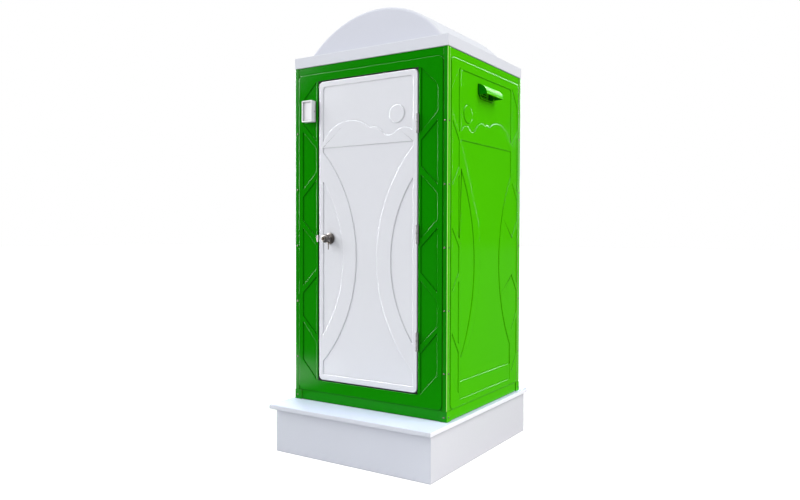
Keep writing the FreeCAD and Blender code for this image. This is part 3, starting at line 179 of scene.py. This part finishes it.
class CabinFinish(bpy.types.PropertyGroup):
    """Colours of the cabin's materials, some of them lit and shaded copies of one colour, and the softness
    of their moulded edges.
    """

    # The two greens are lit and shaded copies of one green: the front's is painted darker, the sides'
    # lighter
    shaded_front_green: colour("Front green", "Deep green of the front frame and the rear wall", 13, 136, 0)
    lit_side_green: colour("Side green", "Light green of the side walls and the vent hoods", 76, 196, 0)
    # Painted highlight on the right-hand corners of the angles and feet
    painted_highlight_green: colour("Worn green", "Pale green where the corners have rubbed", 196, 246, 140)
    door_white: colour("Door white", "Cool white of the door's skins", 232, 233, 239)
    # Each white with a partner below is painted as lit and shaded copies by which way a face turns: the
    # roof's edge, the vault, the deck, the tank and the box
    roof_white: colour("Roof white", "White of the roof's edge at the front", 225, 227, 235)
    roof_side: colour("Roof side", "White of the roof's edge at the sides", 219, 220, 226)
    # The vault's front is a shaded copy of the vault shade, painted darker
    vault_white: colour("Vault white", "White of the vault, which lets some light through", 213, 215, 225)
    vault_shade: colour("Vault shade", "White of the vault's curved top", 222, 224, 229)
    deck_white: colour("Deck white", "Cool white of the deck's top", 214, 222, 243)
    deck_side: colour("Deck side", "White of the deck's sides", 250, 249, 255)
    tank_white: colour("Tank white", "White of the holding tank's front", 217, 220, 230)
    tank_side: colour("Tank side", "White of the holding tank's sides", 227, 226, 232)
    box_white: colour("Box white", "White of the wall box's front", 252, 252, 255)
    box_side: colour("Box side", "White of the wall box's sides", 226, 226, 232)
    # Besides the rubber's own black, this paints the shade in the gap round the door
    seal_black: colour("Seal black", "Rubber behind the door's edge", 14, 14, 16)
    floor_grey: colour("Floor grey", "Grey of the floor pan", 118, 122, 126)
    bowl_grey: colour("Bowl grey", "Pale grey of the pedestal and seat", 214, 217, 222)
    pipe_grey: colour("Pipe grey", "Grey of the vent pipe and the tank's plug", 92, 96, 100)
    hinge_steel: colour("Hinge steel", "Zinc plated steel of the hinges", 165, 162, 166)
    screw_steel: colour("Screw steel", "Dull zinc of the screws", 112, 100, 100)
    lock_metal: colour("Lock metal", "Dark plated metal of the knobs", 104, 99, 96)
    strike_metal: colour("Strike metal", "Pale plated steel of the strike plate", 176, 171, 172)
    key_metal: colour("Key metal", "Worn nickel of the key and the cylinder", 92, 80, 64)
    paper_white: colour("Paper white", "Soft white of the paper roll", 238, 238, 234)
    edge: length("Edge", "Rounding of the relief's edges on the sides and the door", 0.004)
    front_edge: length("Front edge", "Rounding of the relief's edges on the front and the rear", 0.003)
    wall_edge: length("Wall edge", "Rounding of the tank's and roof's outer edges", 0.004)
    angle_edge: length("Angle edge", "Rounding of the corner angles, just under their thickness", 0.0029)
    thin_edge: length("Thin edge", "Rounding of the vent hoods, the vault and the pedestal", 0.0015)
    box_edge: length("Box edge", "Rounding of the wall box", 0.0012)
    seat_edge: length("Seat edge", "Rounding of the seat ring", 0.0008)
    lock_edge: length("Lock edge", "Rounding of the knobs, the roses and the turn button", 0.0006)
    seal_thickness: length("Seal thickness", "Thickness of the rubber round the doorway", 0.002)
    seal_depth: length("Seal depth", "How far the rubber reaches into the doorway", 0.034)


class CabinStage(bpy.types.PropertyGroup):
    """The floor, the light and the camera. Glossy surfaces mirror a dim room with softboxes in it."""

    floor_size: length("Floor size", "Width of the floor", 120.0)
    floor_tone: strength("Floor tone", "How light the floor's own grey is", 0.6)
    floor_mirrored: strength("Mirrored floor", "How light that grey is where it is mirrored", 0.1)
    floor_lift: strength("Floor lift", "Light added to the floor as the camera sees it", 0.6)
    patch_shine: strength("Floor patch", "Mirrored strength of the lit floor on the left", 14.0)
    sky_light: strength("Sky light", "Strength of the even light from all round", 0.42)
    left_lamp: strength("Left lamp", "Strength of the lamp on the upper left", 2.25)
    right_lamp: strength("Right lamp", "Strength of the lamp on the upper right", 2.2)
    room_shine: strength("Room shine", "Mirrored strength of the dim room", 0.02)
    top_shine: strength("Top softbox", "Mirrored strength of the softbox overhead", 12.0)
    left_shine: strength("Left softbox", "Mirrored strength of the softbox on the left", 27.0)
    rear_shine: strength("Rear softbox", "Mirrored strength of the softbox at the rear", 26.0)
    camera_place: bpy.props.FloatVectorProperty(
        name="Camera place", description="Where the camera stands", default=(2.453, -3.8875, 1.347),
        subtype="TRANSLATION", unit="LENGTH")
    camera_heading: rotation("Camera heading", "How far the camera is turned to the left", 32.69)
    camera_tilt: rotation("Camera tilt", "How far the camera is raised from looking down", 88.66)
    camera_roll: rotation("Camera roll", "How far the camera is rolled to the left", 0.15)
    lens: bpy.props.FloatProperty(
        name="Lens", description="Focal length of the camera", default=32.03, min=1, unit="CAMERA")


# Nodes

def adder(tree):
    """A shorthand that adds a node to a tree, and sets its inputs or links sockets to them."""

    def add(kind, operation=None, **inputs):
        node = tree.nodes.new(kind)
        if operation:
            node.operation = operation
        for key, value in inputs.items():
            place = key.removeprefix("input")
            socket = node.inputs[int(place) if place.isdigit() else key.replace("_", " ")]
            if isinstance(value, bpy.types.NodeSocket):
                tree.links.new(value, socket)
            else:
                socket.default_value = value
        return node

    return add


def maths(add, operation, *values):
    """The result of a sum, a product or the like. Each value is a fixed number or a socket."""
    placed = {f"input{place}": value for place, value in enumerate(values)}
    return add("ShaderNodeMath", operation, **placed).outputs["Value"]


def spread(add, value, reach, low=0.0, high=1.0):
    """A value whose given range is spread between two levels, and held there outside it."""
    return add("ShaderNodeMapRange", Value=value, From_Min=reach[0], From_Max=reach[1],
               To_Min=low, To_Max=high).outputs["Result"]


def noise(add, places, scale, detail):
    return add("ShaderNodeTexNoise", Vector=places, Scale=scale, Detail=detail).outputs["Fac"]


def apart(add, vector):
    """The X, Y and Z of a vector."""
    return add("ShaderNodeSeparateXYZ", Vector=vector).outputs


def mixed(add, share, one, other):
    """One colour and the share of another over it. Each is a fixed colour or a socket."""
    mix = add("ShaderNodeMix")
    mix.data_type = "RGBA"
    links = mix.id_data.links
    links.new(share, mix.inputs["Factor"])
    for key, tone in (("A", one), ("B", other)):
        if isinstance(tone, bpy.types.NodeSocket):
            links.new(tone, mix.inputs[key])
        else:
            mix.inputs[key].default_value = (*tone, 1)
    return mix.outputs["Result"]


# Materials

def fresh_material(name):
    """A material, its shader, and the shorthands that add nodes to it and link them."""
    material = bpy.data.materials.new(name)
    material.use_nodes = True
    tree = material.node_tree
    return material, tree.nodes["Principled BSDF"], adder(tree), tree.links.new


def shaded_by_facing(add, front_base, side_base, top_base=None):
    """Lit and shaded copies of one colour, painted by which way a face turns: one for what faces the front
    or the rear, another for the sides, and a third for the top.
    """
    facing = apart(add, add("ShaderNodeNewGeometry").outputs["True Normal"])
    frontal = maths(add, "ABSOLUTE", facing["Y"])
    chosen = mixed(add, spread(add, frontal, FACING_RANGE), side_base, front_base)
    if top_base is None:
        return chosen
    return mixed(add, spread(add, facing["Z"], FACING_RANGE), chosen, top_base)


def painted_highlight_corners(add, base, painted_highlight):
    """A painted highlight: a colour that pales where a right-hand corner turns from the front or the rear
    to the side.
    """
    facing = apart(add, add("ShaderNodeNewGeometry").outputs["Normal"])
    places = apart(add, add("ShaderNodeTexCoord").outputs["Object"])
    turned = maths(add, "ABSOLUTE", maths(add, "MULTIPLY", facing["X"], facing["Y"]))
    outermost = maths(add, "GREATER_THAN", places["X"], SOLID_BOX[1].x - HIGHLIGHT_INSET)
    share = maths(add, "MULTIPLY", spread(add, turned, HIGHLIGHT_RANGE), outermost)
    return mixed(add, share, base, painted_highlight)


def plastic(name, base, roughness=0.2, specular=0.2, grain=900.0, grain_depth=0.00002, crease_shade=0.45,
            crease_shade_reach=0.01, front_base=None, top_base=None, painted_highlight=None):
    """Moulded plastic: a fine skin grain, faint clouds in its colour, and painted shade in its creases."""
    material, shader, add, link = fresh_material(name)
    places = add("ShaderNodeTexCoord").outputs["Object"]
    clouds = noise(add, places, scale=2.4, detail=4.0)
    # Painted shade: ambient occlusion darkens the colour in creases and recesses, besides the faint random
    # clouds
    occlusion = add("ShaderNodeAmbientOcclusion", Distance=crease_shade_reach)
    occlusion.samples = 8
    mottle_and_crease_shade = maths(add, "MULTIPLY", spread(add, clouds, NOISE_RANGE, 1 - MOTTLE, 1 + MOTTLE),
                  spread(add, occlusion.outputs["AO"], CREASE_SHADE_RANGE, 1 - crease_shade, 1.0))
    if front_base:
        base = shaded_by_facing(add, front_base, base, top_base)
    # Painted highlight on the right-hand corners
    if painted_highlight:
        base = painted_highlight_corners(add, base, painted_highlight)
    dyed = add("ShaderNodeVectorMath", "SCALE", input0=base, Scale=mottle_and_crease_shade)
    link(dyed.outputs["Vector"], shader.inputs["Base Color"])

    waves = noise(add, places, scale=14.0, detail=2.0)
    rough = spread(add, waves, NOISE_RANGE, roughness * 0.85, roughness * 1.15)
    link(rough, shader.inputs["Roughness"])
    skin = noise(add, places, scale=grain, detail=3.0)
    bump = add("ShaderNodeBump", Strength=0.5, Distance=grain_depth, Height=skin)
    link(bump.outputs["Normal"], shader.inputs["Normal"])
    shader.inputs["Specular IOR Level"].default_value = specular
    return material


def rubber(name, base):
    """Dull rubber with a coarser skin than the plastic's."""
    return plastic(name, base, roughness=0.75, specular=0.1, grain=500.0, grain_depth=0.0001)


def metal(name, base, roughness=0.3, stain=0.12, metallic=1.0):
    """Plated metal: fine streaks from brushing and faint stains. Dull plating is less metallic."""
    material, shader, add, link = fresh_material(name)
    places = add("ShaderNodeTexCoord").outputs["Object"]
    brushed = add("ShaderNodeMapping", Vector=places, Scale=BRUSHING)
    streaks = noise(add, brushed.outputs["Vector"], scale=1.0, detail=4.0)
    stains = noise(add, places, scale=55.0, detail=5.0)
    shine = spread(add, stains, NOISE_RANGE, 1 - stain, 1 + stain)
    dyed = add("ShaderNodeVectorMath", "SCALE", input0=base, Scale=shine)
    link(dyed.outputs["Vector"], shader.inputs["Base Color"])
    rough = spread(add, streaks, NOISE_RANGE, roughness * 0.8, roughness * 1.25)
    link(rough, shader.inputs["Roughness"])
    bump = add("ShaderNodeBump", Strength=0.5, Distance=0.00004, Height=streaks)
    link(bump.outputs["Normal"], shader.inputs["Normal"])
    shader.inputs["Metallic"].default_value = metallic
    shader.inputs["Specular IOR Level"].default_value = 0.2
    return material


def paper(name, base):
    """Soft tissue, pressed with fine dimples."""
    material, shader, add, link = fresh_material(name)
    places = add("ShaderNodeTexCoord").outputs["Object"]
    fibres = noise(add, places, scale=1500.0, detail=5.0)
    tint = spread(add, fibres, (0, 1), 0.93, 1.04)
    dyed = add("ShaderNodeVectorMath", "SCALE", input0=base, Scale=tint)
    link(dyed.outputs["Vector"], shader.inputs["Base Color"])
    dimples = add("ShaderNodeTexVoronoi", Vector=places, Scale=260.0)
    fine = add("ShaderNodeBump", Strength=0.6, Distance=0.0001, Height=fibres)
    pressed = add("ShaderNodeBump", Strength=0.5, Distance=0.0003, Height=dimples.outputs["Distance"],
                  Normal=fine.outputs["Normal"])
    link(pressed.outputs["Normal"], shader.inputs["Normal"])
    shader.inputs["Roughness"].default_value = 0.95
    shader.inputs["Specular IOR Level"].default_value = 0.1
    shader.inputs["Sheen Weight"].default_value = 0.3
    return material


# Making pieces

def finish(node, material):
    """Gives a solid of the frame its material."""
    mesh = frame["nodes"][node].data
    mesh.materials.clear()
    mesh.materials.append(material)


def weigh_edges(form, sharp_turn=SHARP_TURN):
    """Marks how far each sharp edge is rounded: an outer one in full, and one in a crease less."""
    weights = form.edges.layers.float.new("bevel_weight_edge")
    for edge in form.edges:
        if len(edge.link_faces) == 2 and edge.calc_face_angle() > math.radians(sharp_turn):
            edge[weights] = 1.0 if edge.is_convex else CREASE_SHARE


def soften(piece, edge, segments=3):
    """Rounds a piece's marked edges, with its flat faces still flat."""
    rounding = piece.modifiers.new("Softened edges", "BEVEL")
    rounding.width = edge
    rounding.segments = segments
    rounding.limit_method = "WEIGHT"
    rounding.miter_outer = "MITER_ARC"
    rounding.loop_slide = False
    rounding.use_clamp_overlap = False
    weighing = piece.modifiers.new("Flat faces stay flat", "WEIGHTED_NORMAL")
    weighing.mode = "FACE_AREA"
    weighing.weight = 100


def new_piece(name, form, material, body):
    """A piece from a finished form, smooth shaded, that rides on a body."""
    for facet in form.faces:
        facet.smooth = True
    mesh = bpy.data.meshes.new(name)
    form.to_mesh(mesh)
    form.free()
    mesh.materials.append(material)
    piece = bpy.data.objects.new(name, mesh)
    bpy.context.scene.collection.objects.link(piece)
    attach(piece, body)
    return piece


def moulded(node, material, edge, sharp_turn=SHARP_TURN):
    """A piece in the place of a solid of the frame, with the softened edges that moulding gives it."""
    solid = frame["nodes"][node]
    form = bmesh.new()
    form.from_mesh(solid.data)
    bmesh.ops.remove_doubles(form, verts=form.verts, dist=WELD)
    weigh_edges(form, sharp_turn)
    piece = new_piece(f"{node}_moulded", form, material, solid["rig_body"])
    soften(piece, edge)
    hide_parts(node)
    return piece


# The doorway's rubber, whose black also paints the shade in the gap

def quarter_turn(x, z, radius, start, steps):
    """Places on a quarter turn clockwise round a centre, from a start angle in degrees."""
    turns = [math.radians(start - 90 * step / steps) for step in range(steps + 1)]
    return [(x + radius * math.cos(turn), z + radius * math.sin(turn)) for turn in turns]


def band(form, ring, other):
    """Faces between two closed rings of as many points."""
    for step in range(len(ring)):
        beside = (step + 1) % len(ring)
        form.faces.new((ring[step], ring[beside], other[beside], other[step]))


def ribbon(form, path, thickness, front, rear):
    """A closed strip along a path of places in the front's plane, as thick as given to the path's right."""
    rings = []
    for index, (x, z) in enumerate(path):
        before, after = path[max(index - 1, 0)], path[min(index + 1, len(path) - 1)]
        way = Vector((after[0] - before[0], after[1] - before[1])).normalized()
        inner_x, inner_z = x + way.y * thickness, z - way.x * thickness
        places = ((x, front, z), (inner_x, front, inner_z), (inner_x, rear, inner_z), (x, rear, z))
        rings.append([form.verts.new(place) for place in places])
    for ring, after in zip(rings, rings[1:]):
        band(form, ring, after)
    form.faces.new(rings[0])
    form.faces.new(rings[-1][::-1])


def corner_shade_sheet(form, x, z, radius, way, rise, front):
    """A black rubber sheet, flat on the front frame's face, that squares off one corner of the doorway as
    painted shade.
    """
    inside, centre = radius - SHADE_SHEET_LIP, radius - SHADE_SHEET_CORNER
    outline = quarter_turn(0, 0, inside, 90, SHADE_SHEET_STEPS)[::-1]
    outline += quarter_turn(centre, centre, SHADE_SHEET_CORNER, 90, SHADE_SHEET_STEPS)
    rings = [[form.verts.new((x + u * way, y, z + w * rise)) for u, w in outline]
             for y in (front - SHADE_SHEET_THICKNESS, front)]
    for ring in rings:
        form.faces.new(ring)
    band(form, *rings)


def seal(material, thickness, depth):
    """The black rubber round the doorway, open at the strike plate and at the hinges; its black also paints
    the shade in the gap.
    """
    low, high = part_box("door_core")
    left, right = low.x - DOOR_GAP, high.x + DOOR_GAP
    bottom, top = low.z - DOOR_GAP, high.z + DOOR_GAP
    radius = DOOR_CORNER + DOOR_GAP
    near_left, near_right = left + radius, right - radius
    near_bottom, near_top = bottom + radius, top - radius
    strike_low, strike_high = (end.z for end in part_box("strike_plate"))
    hinges = [[end.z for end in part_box(f"hinge_frame_leaf_{place}")]
              for place in ("top", "middle", "bottom")]
    over = [(left, strike_high + SEAL_SPACE),
            *quarter_turn(near_left, near_top, radius, 180, SEAL_STEPS),
            *quarter_turn(near_right, near_top, radius, 90, SEAL_STEPS),
            (right, hinges[0][1] + SEAL_SPACE)]
    under = [(right, hinges[-1][0] - SEAL_SPACE),
             *quarter_turn(near_right, near_bottom, radius, 0, SEAL_STEPS),
             *quarter_turn(near_left, near_bottom, radius, -90, SEAL_STEPS),
             (left, strike_low - SEAL_SPACE)]
    between = [[(right, upper[0] - SEAL_SPACE), (right, lower[1] + SEAL_SPACE)]
               for upper, lower in zip(hinges, hinges[1:])]
    form = bmesh.new()
    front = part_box("door_outer_skin")[0].y
    for path in (over, under, *between):
        ribbon(form, path, thickness, front + SEAL_SPACE, front + depth)
    bmesh.ops.recalc_face_normals(form, faces=form.faces)
    weigh_edges(form)
    # The sheets of painted shade at the corners come after the weighing, because they are too thin to round
    for x, way in ((near_left, -1), (near_right, 1)):
        for z, rise in ((near_bottom, -1), (near_top, 1)):
            corner_shade_sheet(form, x, z, radius, way, rise, front)
    bmesh.ops.recalc_face_normals(form, faces=form.faces)
    piece = new_piece("door_seal", form, material, "cabin")
    soften(piece, thickness / 4, segments=2)
    return piece


# Operators

class FinishBase(bpy.types.Operator):
    """Finish the holding tank, its outlet and the deck"""

    bl_idname = "cabin.finish_base"
    bl_label = "Tank and deck"

    def execute(self, context):
        look = context.scene.cabin_finish
        white = plastic("tank_plastic", look.tank_side, crease_shade=0.2, front_base=look.tank_white)
        moulded("tank_shell", white, look.wall_edge)
        deck_white = plastic("deck_plastic", look.deck_side, roughness=0.6, specular=0.03, crease_shade=0.1,
                             front_base=look.tank_white, top_base=look.deck_white)
        moulded("deck", deck_white, look.wall_edge)
        finish("outlet_flange", white)
        finish("outlet_plug", plastic("plug_plastic", look.pipe_grey, roughness=0.5))
        return {"FINISHED"}


class FinishWalls(bpy.types.Operator):
    """Finish the moulded walls, their corner angles, feet and screws"""

    bl_idname = "cabin.finish_walls"
    bl_label = "Walls"

    def execute(self, context):
        look = context.scene.cabin_finish
        shaded_front_green = plastic("front_plastic", look.shaded_front_green, roughness=0.1, specular=0.11, crease_shade=0.7)
        lit_side_green = plastic("side_plastic", look.lit_side_green, roughness=0.1, specular=0.15, crease_shade=0.7)
        for node in ("front_frame", "rear_panel"):
            moulded(node, shaded_front_green, look.front_edge)
        for node in ("left_panel", "right_panel"):
            moulded(node, lit_side_green, look.edge)
        # The angles and feet take the shaded green where they face the front or the rear, and the lit green
        # on the sides
        painted = plastic("angle_plastic", look.lit_side_green, roughness=0.16, specular=0.15,
                          front_base=look.shaded_front_green, painted_highlight=look.painted_highlight_green)
        for node in frame["nodes"]:
            if node.startswith("corner_angle"):
                moulded(node, painted, look.angle_edge)
        finish("corner_feet", painted)
        finish("panel_screws", metal("screw_zinc", look.screw_steel, roughness=0.6))
        return {"FINISHED"}


class FinishVents(bpy.types.Operator):
    """Finish the hoods, their grilles and the vent pipe"""

    bl_idname = "cabin.finish_vents"
    bl_label = "Vents"

    def execute(self, context):
        look = context.scene.cabin_finish
        # The hoods' ends, which face the front and the rear, take the shaded green
        green = plastic("hood_plastic", look.lit_side_green, roughness=0.4, specular=0.012, crease_shade=0.7,
                        front_base=look.shaded_front_green)
        for node in ("vent_hood_left", "vent_hood_right"):
            moulded(node, green, look.thin_edge)
        for node in ("left_vent", "right_vent"):
            finish(node, green)
        grey = plastic("pipe_plastic", look.pipe_grey, roughness=0.45)
        for node in ("vent_pipe", "vent_cowl", "pipe_clips"):
            finish(node, grey)
        return {"FINISHED"}


class FinishRoof(bpy.types.Operator):
    """Finish the roof's edge and its vault"""

    bl_idname = "cabin.finish_roof"
    bl_label = "Roof"

    def execute(self, context):
        look = context.scene.cabin_finish
        tray_white = plastic("roof_plastic", look.roof_side, roughness=0.45, specular=0.0, crease_shade=0.2,
                             front_base=look.roof_white, top_base=look.vault_shade)
        moulded("roof_tray", tray_white, look.wall_edge)
        vault_white = plastic("vault_plastic", look.vault_shade, roughness=0.7, specular=0.0, crease_shade=0.2,
                              front_base=look.vault_white)
        moulded("roof_vault", vault_white, look.thin_edge)
        return {"FINISHED"}


class FinishDoor(bpy.types.Operator):
    """Finish the door's skins and core, the stop behind it and the rubber round it"""

    bl_idname = "cabin.finish_door"
    bl_label = "Door"

    def execute(self, context):
        look = context.scene.cabin_finish
        white = plastic("door_plastic", look.door_white, specular=0.42, crease_shade=0.4)
        moulded("door_outer_skin", white, look.edge)
        finish("door_inner_skin", white)
        finish("door_core", plastic("door_foam", look.seal_black, roughness=0.8))
        # The stop and the rubber round the doorway are black, which also paints the shade in the gap round
        # the door
        black = rubber("seal_rubber", look.seal_black)
        finish("door_stop", black)
        seal(black, look.seal_thickness, look.seal_depth)
        return {"FINISHED"}


class FinishHinges(bpy.types.Operator):
    """Finish the three lift-off hinges"""

    bl_idname = "cabin.finish_hinges"
    bl_label = "Hinges"

    def execute(self, context):
        look = context.scene.cabin_finish
        steel = metal("hinge_zinc", look.hinge_steel, roughness=0.5, metallic=0.15)
        for node in frame["nodes"]:
            if node.startswith("hinge_") and node != "hinge_washers":
                finish(node, steel)
        finish("hinge_washers", rubber("washer_plastic", look.seal_black))
        return {"FINISHED"}


class FinishLock(bpy.types.Operator):
    """Finish the knobs, roses, latch, keys and strike plate"""

    bl_idname = "cabin.finish_lock"
    bl_label = "Lock"

    def execute(self, context):
        look = context.scene.cabin_finish
        dark = metal("lock_plating", look.lock_metal, roughness=0.35, stain=0.05, metallic=0.5)
        for node in ("outer_knob", "inner_knob", "outer_rose", "inner_rose", "turn_button"):
            moulded(node, dark, look.lock_edge, KNOB_SHARP_TURN)
        plated = metal("latch_plating", look.strike_metal, roughness=0.6, metallic=0.4)
        for node in ("latch_case", "latch_face_plate", "latch_bolt", "spindle", "strike_plate", "key_ring"):
            finish(node, plated)
        nickel = metal("key_nickel", look.key_metal, roughness=0.35, metallic=0.6)
        for node in ("lock_plug", "spare_key"):
            finish(node, nickel)
        return {"FINISHED"}


class FinishWallBox(bpy.types.Operator):
    """Finish the small box beside the door"""

    bl_idname = "cabin.finish_wall_box"
    bl_label = "Wall box"

    def execute(self, context):
        look = context.scene.cabin_finish
        white = plastic("box_plastic", look.box_side, specular=0.1, crease_shade=0.4, crease_shade_reach=0.012,
                        front_base=look.box_white)
        for node in ("wall_box_cover", "wall_box_body"):
            moulded(node, white, look.box_edge)
        finish("wall_box_screws", metal("box_screw_zinc", look.hinge_steel))
        return {"FINISHED"}


class FinishInside(bpy.types.Operator):
    """Finish the floor pan, pedestal, seat, paper holder and coat hook"""

    bl_idname = "cabin.finish_inside"
    bl_label = "Inside"

    def execute(self, context):
        look = context.scene.cabin_finish
        finish("floor_pan", plastic("floor_plastic", look.floor_grey, roughness=0.6, grain=300.0,
                                    grain_depth=0.0003))
        bowl = plastic("bowl_plastic", look.bowl_grey, roughness=0.25, specular=0.5)
        moulded("pedestal", bowl, look.thin_edge)
        moulded("seat_ring", bowl, look.seat_edge)
        steel = metal("fitting_steel", look.hinge_steel)
        for node in ("seat_hinge", "paper_bracket", "coat_hook"):
            finish(node, steel)
        finish("paper_roller", plastic("roller_plastic", look.pipe_grey))
        finish("paper_roll", paper("tissue", look.paper_white))
        return {"FINISHED"}


class SetStage(bpy.types.Operator):
    """Set the floor, the light and the camera"""

    bl_idname = "cabin.set_stage"
    bl_label = "Stage"

    def execute(self, context):
        stage = context.scene.cabin_stage
        self.lay_floor(context, stage)
        self.light(context, stage)
        self.aim_camera(context, stage)
        context.scene.view_settings.view_transform = "Standard"
        return {"FINISHED"}

    def lay_floor(self, context, stage):
        """A plain pale floor, which is dark in glossy surfaces but for a lit patch on the left."""
        reach = stage.floor_size / 2
        corners = [(-reach, -reach, 0), (reach, -reach, 0), (reach, reach, 0), (-reach, reach, 0)]
        mesh = bpy.data.meshes.new("floor")
        mesh.from_pydata(corners, [], [(0, 1, 2, 3)])
        floor = bpy.data.objects.new("floor", mesh)
        context.scene.collection.objects.link(floor)
        material, shader, add, link = fresh_material("studio_floor")
        rays = add("ShaderNodeLightPath").outputs
        tone = spread(add, rays["Is Glossy Ray"], (0, 1), stage.floor_tone, stage.floor_mirrored)
        link(tone, shader.inputs["Base Color"])
        shader.inputs["Roughness"].default_value = 0.9
        shader.inputs["Specular IOR Level"].default_value = 0.0
        lift = maths(add, "MULTIPLY", rays["Is Camera Ray"], stage.floor_lift)
        mirrored = maths(add, "MULTIPLY", rays["Is Glossy Ray"], self.lit_patch(add, stage))
        glow = add("ShaderNodeEmission", Color=(1, 1, 1, 1), Strength=maths(add, "ADD", lift, mirrored))
        lit = add("ShaderNodeAddShader", input0=shader.outputs["BSDF"], input1=glow.outputs["Emission"])
        link(lit.outputs["Shader"], material.node_tree.nodes["Material Output"].inputs["Surface"])
        mesh.materials.append(material)

    def lit_patch(self, add, stage):
        """The light of the floor on the left, beside the cabin, which edges that face down mirror."""
        places = apart(add, add("ShaderNodeTexCoord").outputs["Object"])
        aside = spread(add, places["X"], PATCH_SIDE, high=stage.patch_shine)
        away = maths(add, "ABSOLUTE", maths(add, "SUBTRACT", places["Y"], PATCH_MIDDLE))
        return maths(add, "MULTIPLY", aside, spread(add, away, PATCH_REACH))

    def light(self, context, stage):
        """White behind the cabin, even light all round, softboxes for glossy surfaces, and two lamps."""
        world = bpy.data.worlds.new("studio")
        world.use_nodes = True
        context.scene.world = world
        tree = world.node_tree
        add = adder(tree)
        rays = add("ShaderNodeLightPath").outputs

        def shine(power, tint=(1, 1, 1)):
            return add("ShaderNodeBackground", Color=(*tint, 1), Strength=power).outputs["Background"]

        def choose(seen_by, other, chosen):
            mix = add("ShaderNodeMixShader", Fac=rays[seen_by], input1=other, input2=chosen)
            return mix.outputs["Shader"]

        room = shine(self.softboxes(add, stage), SKY_TINT)
        sky = choose("Is Glossy Ray", shine(stage.sky_light, SKY_TINT), room)
        seen = choose("Is Camera Ray", sky, shine(1.0))
        tree.links.new(seen, tree.nodes["World Output"].inputs["Surface"])
        for name, towards in LAMPS:
            lamp = bpy.data.lights.new(name, "SUN")
            lamp.angle = LAMP_BREADTH
            lamp.energy = getattr(stage, name)
            holder = bpy.data.objects.new(name, lamp)
            holder.location = Vector(towards) * LAMP_DISTANCE
            holder.rotation_euler = Vector(towards).to_track_quat("Z", "Y").to_euler()
            context.scene.collection.objects.link(holder)

    def softboxes(self, add, stage):
        """What glossy surfaces mirror: softboxes overhead, on the left and at the rear, in a dim room."""
        way = add("ShaderNodeTexCoord").outputs["Generated"]
        mirrored = stage.room_shine
        for name, towards, reach, tallness in SOFTBOXES:
            lowered = add("ShaderNodeVectorMath", "MULTIPLY", input0=way, input1=(1.0, 1.0, 1 / tallness))
            direction = add("ShaderNodeVectorMath", "NORMALIZE", input0=lowered.outputs["Vector"])
            nearness = add("ShaderNodeVectorMath", "DOT_PRODUCT", input0=direction.outputs["Vector"],
                           input1=towards)
            softbox = spread(add, nearness.outputs["Value"], reach, high=getattr(stage, name))
            mirrored = maths(add, "ADD", mirrored, softbox)
        return mirrored

    def aim_camera(self, context, stage):
        """The camera, where the photograph was taken from."""
        lens = bpy.data.cameras.new("camera")
        lens.lens = stage.lens
        camera = bpy.data.objects.new("camera", lens)
        camera.matrix_world = (Matrix.Translation(stage.camera_place)
                               @ Matrix.Rotation(stage.camera_heading, 4, "Z")
                               @ Matrix.Rotation(stage.camera_tilt, 4, "X")
                               @ Matrix.Rotation(stage.camera_roll, 4, "Z"))
        context.scene.collection.objects.link(camera)
        context.scene.camera = camera


class CABIN_PT_pieces(bpy.types.Panel):
    """Lists the cabin's pieces, their finish and the stage"""

    bl_idname = "CABIN_PT_pieces"
    bl_label = "Portable toilet cabin"
    bl_space_type = "VIEW_3D"
    bl_region_type = "UI"
    bl_category = "Cabin"

    def draw(self, context):
        for step in STEPS:
            self.layout.operator(step.bl_idname)
        for settings in (context.scene.cabin_finish, context.scene.cabin_stage):
            for name in settings.__annotations__:
                self.layout.prop(settings, name)


STEPS = (FinishBase, FinishWalls, FinishVents, FinishRoof, FinishDoor, FinishHinges, FinishLock,
         FinishWallBox, FinishInside, SetStage)
CLASSES = (CabinFinish, CabinStage, *STEPS, CABIN_PT_pieces)


def register():
    for kind in CLASSES:
        bpy.utils.register_class(kind)
    bpy.types.Scene.cabin_finish = bpy.props.PointerProperty(type=CabinFinish)
    bpy.types.Scene.cabin_stage = bpy.props.PointerProperty(type=CabinStage)


def unregister():
    del bpy.types.Scene.cabin_stage
    del bpy.types.Scene.cabin_finish
    for kind in reversed(CLASSES):
        bpy.utils.unregister_class(kind)


def main():
    register()
    for step in STEPS:
        group, name = step.bl_idname.split(".")
        getattr(getattr(bpy.ops, group), name)()


if __name__ == "__main__":
    main()
